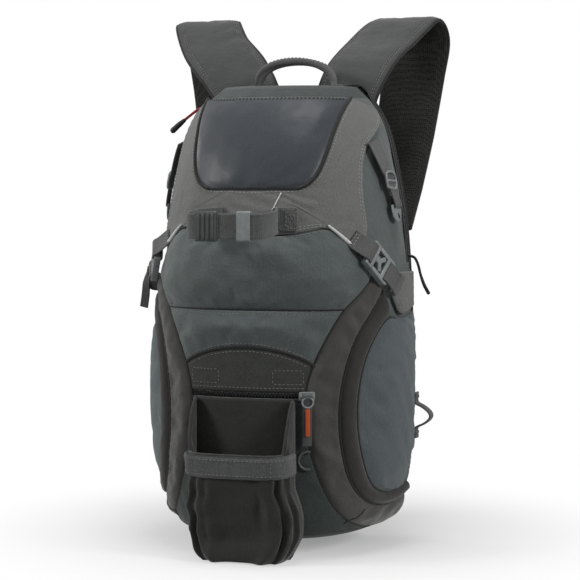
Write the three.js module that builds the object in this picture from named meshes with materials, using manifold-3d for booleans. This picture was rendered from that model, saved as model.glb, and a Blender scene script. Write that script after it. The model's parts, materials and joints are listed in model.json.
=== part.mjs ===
// A soft camera backpack, in millimetres.
// +Z is up, the front faces -Y, and the wearer's back touches the plane y = 0.
// The origin is the middle of the wearer's face of the back panel.
// Places on the bag are (u, v): u runs from -1 at the left back seam over 0 at the
// middle of the front to 1 at the right back seam, v from 0 at the base to 1 at the top.

import * as THREE from 'three';
import Module from 'manifold-3d';
import { mergeVertices } from 'three/addons/utils/BufferGeometryUtils.js';

// The bag's body
const BODY_HEIGHT = 466;
const BODY_WIDTH = 264;
const BODY_DEPTH = 166;
const BODY_WALL = 8;
const CORNER_POWER = 2.5;
const BACK_PAD = 16;
const BACK_EDGE = 7;

// Clearances: facets on the curved body, sewn seams between panels, and plain seats
const SKIN_GAP = 1;
const SEAM = 2.4;
const SEAT = 0.4;
const CHORD = 0.36;

// Cloth panels and how far the padded ones stand out
const CLOTH = 2.4;
const BIB_CLOTH = 3;
const PANEL_CLOTH = 2.8;
const UPPER_RAISE = 11;
const LOWER_RAISE = 7;
const CENTRE_RAISE = 2;
const WING_RAISE = 4;
const RIM_RAISE = 6;
const SIDE_RAISE = 8;
const ZIP_THICK = 1.4;

// Webbing and its hardware
const WEB_THICK = 1.6;
const STRAP_WEB = 22;
const BUCKLE_WIDTH = 29;
const BUCKLE_THICK = 7;
const BUCKLE_FRAME = 4.5;
const BUCKLE_BODY = 27;
const BUCKLE_HEAD = 11;
const BUCKLE_SLOT = 3.6;
const PIPING_WIDTH = 3.6;
const PIPING_THICK = 1.8;

// D-rings
const RING_WIRE = 3.4;
const RING_BAR = 22;
const RING_DROP = 17;
const RING_WEB = 16;

// Tripod pouch and its band
const POUCH_WIDTH = 104;
const POUCH_DEPTH = 48;
const POUCH_WALL = 2.4;
const POUCH_RIM_DROP = 54;
const POUCH_HANG = 18;
const POUCH_BELLY = 0.16;
const POUCH_TUCK = 0.1;
const PLEAT_DEPTH = 4;
const PLEATS = 5;
const BAND_HEIGHT = 23;
const BAND_THICK = 2.2;

// Tripod strap
const LOOP_WIDTH = 92;
const LOOP_REACH = 60;
const LOOP_DROOP = 6;
const LOOP_WEB = 25;
const SLEEVE_WALL = 2.2;
const SLIDER_LENGTH = 14;
const CLIP_LENGTH = 22;

// Grab handle
const HANDLE_SPAN = 84;
const HANDLE_RISE = 30;
const HANDLE_WIDTH = 24;
const HANDLE_THICK = 8;
const FOOT_LENGTH = 20;
const FOOT_THICK = 3;

// Shoulder straps
const STRAP_WIDTH = 70;
const STRAP_THICK = 12;
const STRAP_REACH = 150;
const STRAP_RISE = 318;
const LOCK_LENGTH = 24;
const LOCK_WIDTH = 32;
const LOCK_THICK = 6;
const LOCK_CORNER = 4;
const LOCK_STRAP_SLOT = 24;
const LOWER_WEB = 25;

// Zip sliders and pulls
const PULL_LENGTH = 50;
const PULL_WIDTH = 9.5;
const PULL_THICK = 3.4;
const BRIDGE_WIRE = 2.4;
const BRIDGE_CLEAR = 0.5;
const SLIDER_HEIGHT = 9;
const SLIDER_BASE = 2.6;
const CORD_THICK = 3;
const LOW_LOOP = 9;

// Side loops
const SIDE_LOOP_WEB = 12;
const SIDE_LOOP_REACH = 16;
const SIDE_LOOP_HEIGHT = 27;
const SIDE_LOOP_SEWN = 11;
const SIDE_LOOP_PLACE = [0.925, 0.28];

// Half-width and depth of the body at each height, as shares of its sizes
const SECTIONS = [
  { height: 0.0, width: 0.76, depth: 0.9 },
  { height: 0.03, width: 0.865, depth: 0.95 },
  { height: 0.08, width: 0.935, depth: 0.98 },
  { height: 0.16, width: 0.98, depth: 1.0 },
  { height: 0.27, width: 1.0, depth: 1.0 },
  { height: 0.42, width: 1.0, depth: 1.0 },
  { height: 0.56, width: 0.985, depth: 0.98 },
  { height: 0.7, width: 0.945, depth: 0.93 },
  { height: 0.82, width: 0.875, depth: 0.84 },
  { height: 0.91, width: 0.79, depth: 0.7 },
  { height: 0.965, width: 0.68, depth: 0.56 },
  { height: 1.0, width: 0.56, depth: 0.42 },
];

// The seams of each side from the top to the base, as (u, v) places: pocket bounds the
// side pocket, whose rear end is the height rear on the back seam; rim bounds the raised
// rim round it, and wing is the front edge of the crescent before the rim
const SIDE_SEAMS = [
  { pocket: [0.745, 0.466], rear: 0.488 },
  { pocket: [0.69, 0.479], rear: 0.474 },
  { pocket: [0.637, 0.485], rear: 0.46, rim: [0.595, 0.542], wing: [0.53, 0.572] },
  { pocket: [0.57, 0.463], rear: 0.44, rim: [0.51, 0.491], wing: [0.45, 0.533] },
  { pocket: [0.52, 0.432], rear: 0.42, rim: [0.465, 0.464], wing: [0.385, 0.507] },
  { pocket: [0.487, 0.402], rear: 0.395, rim: [0.43, 0.436], wing: [0.325, 0.458] },
  { pocket: [0.465, 0.372], rear: 0.368, rim: [0.397, 0.392], wing: [0.272, 0.403] },
  { pocket: [0.45, 0.332], rear: 0.33, rim: [0.374, 0.34], wing: [0.238, 0.35] },
  { pocket: [0.442, 0.292], rear: 0.292, rim: [0.364, 0.294], wing: [0.228, 0.3] },
  { pocket: [0.444, 0.25], rear: 0.25, rim: [0.364, 0.25], wing: [0.232, 0.25] },
  { pocket: [0.456, 0.206], rear: 0.208, rim: [0.372, 0.206], wing: [0.246, 0.204] },
  { pocket: [0.491, 0.146], rear: 0.165, rim: [0.397, 0.144], wing: [0.284, 0.136] },
  { pocket: [0.544, 0.107], rear: 0.14, rim: [0.45, 0.1], wing: [0.335, 0.08] },
  { pocket: [0.65, 0.088], rear: 0.125, rim: [0.556, 0.066], wing: [0.42, 0.034] },
  { pocket: [0.8, 0.092], rear: 0.112, rim: [0.74, 0.06], wing: [0.6, 0.012] },
  { pocket: [0.94, 0.102], rear: 0.103, rim: [0.975, 0.074], wing: [0.975, 0.012] },
];
const WING_START = SIDE_SEAMS.findIndex((row) => row.wing);
const REAR_SEAM = 0.985;
const RIM_PLACES = SIDE_SEAMS.slice(WING_START);

// The yoke's right half from the top to the middle of the front: bib is the seam
// to the bib, hem the outer edge, arm marks the end that the webbing leaves
const YOKE_SEAMS = [
  { bib: [0.6, 0.968], hem: [0.86, 0.945] },
  { bib: [0.52, 0.95], hem: [0.82, 0.912] },
  { bib: [0.45, 0.925], hem: [0.68, 0.885] },
  { bib: [0.385, 0.885], hem: [0.59, 0.86] },
  { bib: [0.335, 0.837], hem: [0.54, 0.825] },
  { bib: [0.29, 0.795], hem: [0.52, 0.78] },
  { bib: [0.245, 0.773], hem: [0.515, 0.733] },
  { bib: [0.2, 0.765], hem: [0.53, 0.68] },
  { bib: [0.16, 0.765], hem: [0.502, 0.645], arm: true },
  { bib: [0.13, 0.765], hem: [0.445, 0.634] },
  { bib: [0.1, 0.765], hem: [0.327, 0.686] },
  { bib: [0.07, 0.765], hem: [0.26, 0.676] },
  { bib: [0.04, 0.765], hem: [0.17, 0.667] },
  { bib: [0.0, 0.765], hem: [0.0, 0.665] },
];
const BIB_ROWS = 8;
const POCKET_CORNER = YOKE_SEAMS.findIndex((row) => row.arm) + 2;

// Heights of the cross seams on the front, and of the two arcs' ends and middles
const SLOT_SEAM = 0.505;
const ARC_END = 0.386;
const ARC_MIDDLE = 0.424;
const ARC_POWER = 2.2;
const ZIP_TOP = 0.327;
const ZIP_LOW = 0.315;
const CENTRE_LOW = 0.012;

// Where the compression strap lies: its buckle's two ends and its gusset's corners
const BUCKLE_TOP = [0.462, 0.642];
const BUCKLE_LOW = [0.618, 0.563];
const GUSSET_ROWS = [
  { upper: [0.72, 0.582], lower: [0.655, 0.538] },
  { upper: [0.8, 0.582], lower: [0.695, 0.508] },
  { upper: [0.89, 0.581], lower: [0.745, 0.48] },
  { upper: [0.975, 0.58], lower: [0.96, 0.5] },
];

// D-ring straps, from the yoke to the ring's bar
const RING_START = [0.645, 0.872];
const RING_PLACE = [0.757, 0.728];

// The front zip's slider
const FRONT_SLIDER = [0.236, 0.321];

// Shoulder strap centrelines, from the root up, over and down to the lock: across is
// a share of half the body's width, outward of the reach, height of the rise, wide and
// thick of the strap's own section
const RIGHT_STRAP = [
  { across: 0.36, outward: 0, height: 0.56, wide: 0.86, thick: 0.7 },
  { across: 0.38, outward: 0.012, height: 0.69, wide: 0.96, thick: 0.95 },
  { across: 0.44, outward: 0.16, height: 0.8, wide: 1.04, thick: 1 },
  { across: 0.53, outward: 0.49, height: 0.9, wide: 1.08, thick: 1 },
  { across: 0.68, outward: 0.84, height: 0.985, wide: 1.08, thick: 1 },
  { across: 0.72, outward: 0.98, height: 0.93, wide: 1.06, thick: 1 },
  { across: 0.7, outward: 0.92, height: 0.79, wide: 1.02, thick: 1 },
  { across: 0.68, outward: 0.74, height: 0.58, wide: 0.94, thick: 1 },
  { across: 0.68, outward: 0.5, height: 0.39, wide: 0.8, thick: 0.95 },
  { across: 0.7, outward: 0.27, height: 0.25, wide: 0.62, thick: 0.8 },
];
const LEFT_STRAP = [
  { across: -0.36, outward: 0, height: 0.56, wide: 0.86, thick: 0.7 },
  { across: -0.44, outward: 0.012, height: 0.69, wide: 0.96, thick: 0.95 },
  { across: -0.62, outward: 0.14, height: 0.79, wide: 1.02, thick: 1 },
  { across: -0.88, outward: 0.34, height: 0.89, wide: 1.04, thick: 1 },
  { across: -1.08, outward: 0.64, height: 0.985, wide: 1.04, thick: 1 },
  { across: -1.1, outward: 0.84, height: 0.94, wide: 1.04, thick: 1 },
  { across: -1.04, outward: 0.86, height: 0.79, wide: 1, thick: 1 },
  { across: -0.94, outward: 0.72, height: 0.58, wide: 0.94, thick: 1 },
  { across: -0.83, outward: 0.5, height: 0.39, wide: 0.8, thick: 0.95 },
  { across: -0.74, outward: 0.27, height: 0.25, wide: 0.62, thick: 0.8 },
];
const WEB_ANCHOR = { across: 0.8, height: -0.34 };

// The strap's and the handle's sections as shares of half their width and thickness
const STRAP_SECTION = [
  { wide: -1, thick: 0.25 },
  { wide: -0.75, thick: 0.9 },
  { wide: 0, thick: 1 },
  { wide: 0.75, thick: 0.9 },
  { wide: 1, thick: 0.25 },
];
const HANDLE_SECTION = [
  { wide: -1, thick: 0.5 },
  { wide: -0.7, thick: 1 },
  { wide: 0.7, thick: 1 },
  { wide: 1, thick: 0.5 },
];

// The tripod strap between its sewn ends: side is a share of half its width, out of
// its reach; each end is sewn from the first to the last of two places u
const LOOP_PATH = [
  { side: 0.8, out: 0.3 },
  { side: 0.82, out: 0.75 },
  { side: 0.66, out: 1 },
  { side: 0, out: 1 },
  { side: -0.84, out: 1 },
  { side: -1, out: 0.86 },
  { side: -1, out: 0.3 },
];
const SEWN_FIRST = 0.2;
const SEWN_LAST = 0.12;

// Small pulls: out and along the bag and up from their root, thick as a share
const SIDE_PULL = [
  { out: 0, along: 0, up: 0, thick: 1 },
  { out: 7, along: 0, up: -2, thick: 1 },
  { out: 11, along: 0, up: -9, thick: 1 },
  { out: 14, along: 0, up: -20, thick: 1 },
  { out: 18, along: 0, up: -31, thick: 1.25 },
  { out: 23, along: 0, up: -40, thick: 1.25 },
];
const TOP_CORD = [
  { out: 0, along: 0, up: 0, thick: 1 },
  { out: 6, along: -4, up: -1, thick: 1 },
  { out: 16, along: -8, up: -6, thick: 1 },
  { out: 26, along: -10, up: -12, thick: 1 },
];
const TOP_GRIP = [
  { out: 26.5, along: -10.2, up: -12.4, thick: 1.4 },
  { out: 34, along: -12, up: -17, thick: 2 },
  { out: 44, along: -14, up: -24, thick: 2.2 },
];
const SIDE_PULL_PLACE = [0.95, 0.615];
const TOP_PULL_PLACE = [-0.82, 0.95];
const LOW_PULL_PLACE = [0.238, 0.2];

const COLOURS = {
  body: 0x5f6664,
  panel: 0x555c5b,
  bib: 0x3f444a,
  yoke: 0x5e5f5e,
  dark: 0x393937,
  rim: 0x373533,
  side: 0x4e575b,
  mesh: 0x1e1f1d,
  webbing: 0x4a4a4a,
  plastic: 0x54585a,
  piping: 0xc9cbc9,
  orange: 0xc0562c,
  red: 0x8c2f2f,
};

const wasm = await Module();
wasm.setup();

const backpack = new THREE.Group();

function addPiece(name, geometry, colour, metalness = 0) {
  const roughness = metalness ? 0.35 : 0.85;
  const material = new THREE.MeshStandardMaterial({ color: COLOURS[colour], roughness, metalness });
  const mesh = new THREE.Mesh(geometry, material);
  mesh.name = name;
  backpack.add(mesh);
  return mesh;
}

const vector = (x, y, z) => new THREE.Vector3(x, y, z);
const mix = (from, to, share) => from + (to - from) * share;
const clamp = (value, low, high) => Math.min(Math.max(value, low), high);
const mirror = ([u, v]) => [-u, v];
const opposite = (corner) => ({ wide: -corner.wide, thick: -corner.thick });
const mixPlace = (a, b, share) => [mix(a[0], b[0], share), mix(a[1], b[1], share)];

// Meshes: each builder returns one closed body with its faces pointing out

function closedGeometry(points, faces) {
  let volume = 0;
  for (const [a, b, c] of faces) {
    volume += points[a].dot(points[b].clone().cross(points[c]));
  }
  const geometry = new THREE.BufferGeometry();
  geometry.setFromPoints(points);
  geometry.setIndex(faces.flatMap(([a, b, c]) => (volume < 0 ? [a, c, b] : [a, b, c])));
  return geometry;
}

// A skin over rings of equally many points, closed by a fan at each end
function loft(rings) {
  const count = rings[0].length;
  const points = rings.flat();
  const faces = [];
  for (let ring = 0; ring + 1 < rings.length; ring += 1) {
    for (let at = 0; at < count; at += 1) {
      const a = ring * count + at;
      const b = ring * count + ((at + 1) % count);
      faces.push([a, b, b + count], [a, b + count, a + count]);
    }
  }
  const last = (rings.length - 1) * count;
  const centres = [rings[0], rings[rings.length - 1]].map((ring) => {
    const centre = vector(0, 0, 0);
    ring.forEach((point) => centre.add(point));
    return centre.divideScalar(count);
  });
  const first = points.length;
  points.push(...centres);
  for (let at = 0; at < count; at += 1) {
    const next = (at + 1) % count;
    faces.push([first, next, at], [first + 1, last + at, last + next]);
  }
  return closedGeometry(points, faces);
}

// A closed loop of rings, such as a wire bent round to its start
function loopLoft(rings) {
  const count = rings[0].length;
  const faces = [];
  rings.forEach((ring, index) => {
    const following = (index + 1) % rings.length;
    for (let at = 0; at < count; at += 1) {
      const next = (at + 1) % count;
      const [a, b] = [index * count + at, index * count + next];
      const [c, d] = [following * count + next, following * count + at];
      faces.push([a, b, c], [a, c, d]);
    }
  });
  return closedGeometry(rings.flat(), faces);
}

// A slab between two grids of points, closed along its four edges
function slab(outer, inner) {
  const rows = outer.length;
  const columns = outer[0].length;
  const points = [...outer.flat(), ...inner.flat()];
  const at = (row, column) => row * columns + column;
  const below = rows * columns;
  const faces = [];
  for (let row = 0; row + 1 < rows; row += 1) {
    for (let column = 0; column + 1 < columns; column += 1) {
      const [a, b] = [at(row, column), at(row, column + 1)];
      const [c, d] = [at(row + 1, column + 1), at(row + 1, column)];
      faces.push([a, b, c], [a, c, d]);
      faces.push([below + a, below + c, below + b], [below + a, below + d, below + c]);
    }
  }
  const edge = [];
  for (let column = 0; column + 1 < columns; column += 1) {
    edge.push(at(0, column));
  }
  for (let row = 0; row + 1 < rows; row += 1) {
    edge.push(at(row, columns - 1));
  }
  for (let column = columns - 1; column > 0; column -= 1) {
    edge.push(at(rows - 1, column));
  }
  for (let row = rows - 1; row > 0; row -= 1) {
    edge.push(at(row, 0));
  }
  edge.forEach((a, index) => {
    const b = edge[(index + 1) % edge.length];
    faces.push([a, below + b, b], [a, below + a, below + b]);
  });
  return closedGeometry(points, faces);
}

function toManifold(geometry) {
  const bare = geometry.clone();
  bare.deleteAttribute('normal');
  bare.deleteAttribute('uv');
  const merged = mergeVertices(bare);
  const vertProperties = new Float32Array(merged.attributes.position.array);
  const triVerts = new Uint32Array(merged.index.array);
  return new wasm.Manifold(new wasm.Mesh({ numProp: 3, vertProperties, triVerts }));
}

function fromManifold(solid) {
  const mesh = solid.getMesh();
  const geometry = new THREE.BufferGeometry();
  geometry.setAttribute('position', new THREE.BufferAttribute(mesh.vertProperties, mesh.numProp));
  geometry.setIndex(new THREE.BufferAttribute(mesh.triVerts, 1));
  return geometry;
}

const joined = (a, b) => fromManifold(toManifold(a).add(toManifold(b)));
const cutAway = (a, b) => fromManifold(toManifold(a).subtract(toManifold(b)));

// The bag's surface

// A smooth curve through the rows of a table, by the slopes between neighbours
function sectionAt(height) {
  const share = clamp(height, 0, 1);
  let index = SECTIONS.findIndex((row) => row.height > share) - 1;
  if (index < 0) index = SECTIONS.length - 2;
  const rows = [index - 1, index, index + 1, index + 2];
  const [before, low, high, after] = rows.map((row) => SECTIONS[clamp(row, 0, SECTIONS.length - 1)]);
  const step = high.height - low.height;
  const at = (share - low.height) / step;
  const curve = (name) => {
    const slopeLow = ((high[name] - before[name]) / (high.height - before.height)) * step;
    const slopeHigh = ((after[name] - low[name]) / (after.height - low.height)) * step;
    const start = (2 * at ** 3 - 3 * at ** 2 + 1) * low[name] + (at ** 3 - 2 * at ** 2 + at) * slopeLow;
    return start + (3 * at ** 2 - 2 * at ** 3) * high[name] + (at ** 3 - at ** 2) * slopeHigh;
  };
  return { width: curve('width'), depth: curve('depth') };
}

// A point of the body, or of the same shape made smaller by inset all round
function bodyPoint(u, v, inset = 0) {
  const section = sectionAt(v);
  const halfWidth = (section.width * BODY_WIDTH) / 2 - inset;
  const depth = section.depth * BODY_DEPTH - inset;
  const angle = (u * Math.PI) / 2;
  const across = Math.abs(Math.sin(angle)) / halfWidth;
  const outward = Math.abs(Math.cos(angle)) / depth;
  const reach = (across ** CORNER_POWER + outward ** CORNER_POWER) ** (-1 / CORNER_POWER);
  const height = (v - 0.5) * (BODY_HEIGHT - 2 * inset);
  return vector(reach * Math.sin(angle), -BACK_PAD - reach * Math.cos(angle), height);
}

// The surface at a place: its point raised by off, its normal and its two directions
function skin([u, v], off = 0) {
  const step = 0.001;
  const along = bodyPoint(u + step, v).sub(bodyPoint(u - step, v)).normalize();
  const up = bodyPoint(u, Math.min(v + step, 1)).sub(bodyPoint(u, Math.max(v - step, 0))).normalize();
  const normal = along.clone().cross(up).normalize();
  const point = bodyPoint(u, v).addScaledVector(normal, off);
  return { point, normal, along, up };
}

// How many steps keep a line between two places within the chord error
function stepsBetween(a, b) {
  const [from, to] = [skin(a), skin(b)];
  const sag = (from.point.distanceTo(to.point) * from.normal.angleTo(to.normal)) / 8;
  return Math.max(1, Math.ceil(Math.sqrt(sag / CHORD)));
}

// A height on a seam's polyline turned into its u
function seamAt(places, height) {
  const index = places.findIndex((place, at) => at > 0 && place[1] <= height);
  const [a, b] = [places[index - 1], places[index]];
  return [mix(a[0], b[0], (a[1] - height) / (a[1] - b[1])), height];
}

const dome = (share, power) => 1 - Math.abs(2 * share - 1) ** power;

// One cloth panel sewn on the body, between two seams given as rows of two places.
// A raised panel bulges away from the body and stays one cloth thick, so it is hollow.
function panel(rows, options) {
  const { cloth = CLOTH, raise = 0, lift = 0, across = 1, along = 1, ridge = false } = options;
  const finer = [];
  let columns = across;
  rows.forEach((row, index) => {
    columns = Math.max(columns, stepsBetween(row[0], row[1]));
    if (index + 1 === rows.length) return;
    const next = rows[index + 1];
    const steps = Math.max(along, stepsBetween(row[0], next[0]), stepsBetween(row[1], next[1]));
    for (let step = 0; step < steps; step += 1) {
      finer.push([mixPlace(row[0], next[0], step / steps), mixPlace(row[1], next[1], step / steps)]);
    }
  });
  finer.push(rows[rows.length - 1]);
  return panelGrid(finer.length - 1, columns, { cloth, raise, lift, ridge }, (along01, across01) => {
    const row = finer[Math.round(along01 * (finer.length - 1))];
    return mixPlace(row[0], row[1], across01);
  });
}

// The same panel over any grid of places, trimmed by half a seam on all four sides
function panelGrid(rows, columns, { cloth, raise, lift, ridge }, placeAt) {
  const grid = [];
  for (let row = 0; row <= rows; row += 1) {
    grid.push([]);
    for (let column = 0; column <= columns; column += 1) {
      grid[row].push(placeAt(row / rows, column / columns));
    }
  }
  const distance = (a, b) => skin(a).point.distanceTo(skin(b).point);
  const pulled = (edge, next) => mixPlace(edge, next, Math.min(0.45, SEAM / 2 / distance(edge, next)));
  for (const row of grid) {
    [row[0], row[columns]] = [pulled(row[0], row[1]), pulled(row[columns], row[columns - 1])];
  }
  for (let column = 0; column <= columns; column += 1) {
    grid[0][column] = pulled(grid[0][column], grid[1][column]);
    grid[rows][column] = pulled(grid[rows][column], grid[rows - 1][column]);
  }
  const layer = (thick) => grid.map((row, i) => row.map((place, j) => {
    const crown = dome(j / columns, 2.4) * (ridge ? 1 : dome(i / rows, 2.4));
    return skin(place, SKIN_GAP + lift + thick + raise * crown).point;
  }));
  return slab(layer(cloth), layer(0));
}

// A flat band of webbing through stations, each with the direction of its width
function webbing(stations, width, thick = WEB_THICK) {
  const rings = stations.map((station, index) => {
    const before = stations[Math.max(index - 1, 0)].at;
    const after = stations[Math.min(index + 1, stations.length - 1)].at;
    const side = station.side.clone().normalize();
    const up = after.clone().sub(before).cross(side).normalize();
    const wide = (width * (station.wide ?? 1)) / 2;
    const corner = (a, b) => {
      return station.at.clone().addScaledVector(side, a * wide).addScaledVector(up, (b * thick) / 2);
    };
    return [corner(-1, -1), corner(1, -1), corner(1, 1), corner(-1, 1)];
  });
  return loft(rings);
}

const strapThrough = (points, side, width) => webbing(points.map((at) => ({ at, side })), width);

// A band lying on the bag along a line of places
function bandOnBag(places, width, thick, off) {
  const finer = [];
  places.forEach((place, index) => {
    if (index + 1 === places.length) return;
    const steps = stepsBetween(place, places[index + 1]);
    for (let step = 0; step < steps; step += 1) {
      finer.push(mixPlace(place, places[index + 1], step / steps));
    }
  });
  finer.push(places[places.length - 1]);
  const stations = finer.map((place, index) => {
    const surface = skin(place, off + thick / 2);
    const next = skin(finer[Math.min(index + 1, finer.length - 1)]).point;
    const last = skin(finer[Math.max(index - 1, 0)]).point;
    return { at: surface.point, side: next.sub(last).cross(surface.normal) };
  });
  return webbing(stations, width, thick);
}

// A six-sided cord through points, as thick at each as its list says
function rod(points, thicknesses) {
  const sides = 6;
  const up = vector(0, 0, 1);
  const rings = points.map((point, index) => {
    const before = points[Math.max(index - 1, 0)];
    const after = points[Math.min(index + 1, points.length - 1)];
    const forward = after.clone().sub(before).normalize();
    const helper = Math.abs(forward.dot(up)) > 0.9 ? vector(0, 1, 0) : up;
    const side = forward.clone().cross(helper).normalize();
    const other = side.clone().cross(forward);
    const radius = thicknesses[index] / 2;
    return Array.from({ length: sides }, (_, at) => {
      const angle = (at / sides) * 2 * Math.PI;
      const offset = side.clone().multiplyScalar(Math.cos(angle) * radius);
      return point.clone().add(offset).addScaledVector(other, Math.sin(angle) * radius);
    });
  });
  return loft(rings);
}

function roundedRect(width, height, radius, shape = new THREE.Shape()) {
  const [x, y] = [width / 2, height / 2];
  shape.moveTo(-x + radius, -y);
  shape.lineTo(x - radius, -y);
  shape.quadraticCurveTo(x, -y, x, -y + radius);
  shape.lineTo(x, y - radius);
  shape.quadraticCurveTo(x, y, x - radius, y);
  shape.lineTo(-x + radius, y);
  shape.quadraticCurveTo(-x, y, -x, y - radius);
  shape.lineTo(-x, -y + radius);
  shape.quadraticCurveTo(-x, -y, -x + radius, -y);
  return shape;
}

function rectHole(centreX, centreY, width, height) {
  const hole = new THREE.Path();
  hole.moveTo(centreX - width / 2, centreY - height / 2);
  hole.lineTo(centreX - width / 2, centreY + height / 2);
  hole.lineTo(centreX + width / 2, centreY + height / 2);
  hole.lineTo(centreX + width / 2, centreY - height / 2);
  hole.closePath();
  return hole;
}

function polygon(points) {
  const shape = new THREE.Shape();
  points.forEach(([x, y], index) => (index ? shape.lineTo(x, y) : shape.moveTo(x, y)));
  shape.closePath();
  return shape;
}

function plate(shape, thick, curveSegments = 2) {
  const geometry = new THREE.ExtrudeGeometry(shape, { depth: thick, bevelEnabled: false, curveSegments });
  return geometry.translate(0, 0, -thick / 2);
}

// Turns a mesh so that its x runs along, its z along the normal, and moves it to a point
function placeMesh(mesh, point, along, normal) {
  const z = normal.clone().normalize();
  const y = z.clone().cross(along).normalize();
  const x = y.clone().cross(z);
  mesh.position.copy(point);
  mesh.quaternion.setFromRotationMatrix(new THREE.Matrix4().makeBasis(x, y, z));
  return mesh;
}

// The padded body: an outer and an inner loft, open over the whole back
function bodyLoft(inset, columns, parts, backReach) {
  const rings = [];
  SECTIONS.forEach((row, index) => {
    const next = SECTIONS[index + 1];
    const steps = next ? parts : 1;
    for (let step = 0; step < steps; step += 1) {
      const height = next ? mix(row.height, next.height, step / parts) : 1;
      const ring = [];
      for (let column = 0; column <= columns; column += 1) {
        ring.push(bodyPoint(-1 + (2 * column) / columns, height, inset));
      }
      if (backReach) {
        ring.push(ring[columns].clone().setY(backReach), ring[0].clone().setY(backReach));
      }
      rings.push(ring);
    }
  });
  return loft(rings);
}

addPiece('body_shell', cutAway(bodyLoft(0, 28, 2), bodyLoft(BODY_WALL, 16, 1, BACK_PAD)), 'body');

// The back panel: the body's outline with a rounded edge towards the wearer
function backPanel() {
  const layers = [
    { y: -BACK_PAD + SEAT, inset: 0 },
    { y: -BACK_EDGE, inset: 0 },
    { y: -BACK_EDGE * 0.25, inset: BACK_EDGE * 0.35 },
    { y: 0, inset: BACK_EDGE },
  ];
  return loft(layers.map(({ y, inset }) => {
    const side = SECTIONS.map((row) => {
      const width = (sectionAt(row.height).width * BODY_WIDTH) / 2 - inset;
      return vector(width, y, (row.height - 0.5) * (BODY_HEIGHT - 2 * inset));
    });
    const other = side.map((point) => point.clone().setX(-point.x)).reverse();
    return [...side, ...other];
  }));
}
addPiece('back_panel', backPanel(), 'mesh');

// Bib and yoke
const bibSeam = YOKE_SEAMS.slice(0, BIB_ROWS).map((row) => row.bib);
addPiece('top_bib', panel(bibSeam.map((place) => [mirror(place), place]), { cloth: BIB_CLOTH }), 'bib');

const yokeRight = YOKE_SEAMS.map((row) => [row.bib, row.hem]);
const yokeLeft = yokeRight.slice(0, -1).reverse().map((row) => row.map(mirror));
addPiece('yoke', panel([...yokeRight, ...yokeLeft], { across: 3 }), 'yoke');

// Front panels: their side edges follow the wings' seam, their cross edges named heights
const wingSeam = SIDE_SEAMS.slice(WING_START).map((row) => row.wing);
const hemSeam = YOKE_SEAMS.slice(POCKET_CORNER).map((row) => row.hem);

function yokeHem(u) {
  const index = hemSeam.findIndex((place, at) => at > 0 && place[0] <= Math.abs(u));
  const [a, b] = [hemSeam[index - 1], hemSeam[index]];
  return mix(a[1], b[1], (a[0] - Math.abs(u)) / (a[0] - b[0]));
}

const arcHeight = (share) => mix(ARC_MIDDLE, ARC_END, Math.abs(share) ** ARC_POWER);

// A front panel between a top and a bottom edge, both heights over the share from -1 to 1
function frontPanel(edge, top, bottom, columns, options) {
  const first = edge[0][1];
  const span = first - edge[edge.length - 1][1];
  const shape = { cloth: PANEL_CLOTH, raise: 0, lift: 0, ridge: false, ...options };
  return panelGrid(edge.length - 1, columns, shape, (along, across) => {
    const [u, height] = edge[Math.round(along * (edge.length - 1))];
    const share = 2 * across - 1;
    return [share * u, mix(top(share), bottom(share), (first - height) / span)];
  });
}

const armCorner = YOKE_SEAMS[POCKET_CORNER - 1].hem;
const pipingStart = YOKE_SEAMS[POCKET_CORNER].hem;
const seamBetween = (low, high) => wingSeam.filter((place) => place[1] > low && place[1] < high);
const upperEdge = [
  pipingStart,
  mixPlace(pipingStart, armCorner, 0.5),
  armCorner,
  mixPlace(armCorner, wingSeam[0], 0.5),
  ...seamBetween(SLOT_SEAM + 0.01, 1),
  seamAt(wingSeam, SLOT_SEAM),
];
const hemOverPanel = (share) => yokeHem(share * pipingStart[0]) - (2 * SEAT) / BODY_HEIGHT;
const upper = frontPanel(upperEdge, hemOverPanel, () => SLOT_SEAM, 12, { raise: UPPER_RAISE });
addPiece('upper_front_panel', upper, 'panel');

const lowerEdge = [
  seamAt(wingSeam, SLOT_SEAM),
  ...seamBetween(ARC_END, SLOT_SEAM - 0.002),
  seamAt(wingSeam, ARC_END),
];
const lower = frontPanel(lowerEdge, () => SLOT_SEAM, arcHeight, 10, { raise: LOWER_RAISE });
addPiece('lower_front_panel', lower, 'panel');

const flapEdge = [seamAt(wingSeam, ARC_END), ...seamBetween(ZIP_TOP, ARC_END), seamAt(wingSeam, ZIP_TOP)];
addPiece('flap_panel', frontPanel(flapEdge, arcHeight, () => ZIP_TOP, 8, { cloth: CLOTH }), 'panel');

const zipEdge = [seamAt(wingSeam, ZIP_TOP), seamAt(wingSeam, ZIP_LOW)];
addPiece('front_zip', panel(zipEdge.map((p) => [mirror(p), p]), { cloth: ZIP_THICK, across: 6 }), 'mesh');

const centreEdge = [seamAt(wingSeam, ZIP_LOW), ...seamBetween(CENTRE_LOW + 0.01, ZIP_LOW)];
centreEdge.push(seamAt(wingSeam, CENTRE_LOW));
const centre = panel(centreEdge.map((p) => [mirror(p), p]), { raise: CENTRE_RAISE, across: 8 });
addPiece('centre_pocket', centre, 'dark');

// Side panels, mirrored
const flip = { right: 1, left: -1 };
for (const [side, sign] of Object.entries(flip)) {
  const on = (place) => [sign * place[0], place[1]];
  const wingRows = RIM_PLACES.map((row) => [on(row.wing), on(row.rim)]);
  const rimRows = RIM_PLACES.map((row) => [on(row.rim), on(row.pocket)]);
  const pocketRows = SIDE_SEAMS.map((row) => [on(row.pocket), on([REAR_SEAM, row.rear])]);
  addPiece(`wing_${side}`, panel(wingRows, { raise: WING_RAISE, across: 3, ridge: true }), 'dark');
  addPiece(`rim_${side}`, panel(rimRows, { raise: RIM_RAISE, across: 3, ridge: true }), 'rim');
  addPiece(`side_pocket_${side}`, panel(pocketRows, { raise: SIDE_RAISE, across: 5 }), 'side');
}

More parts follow.
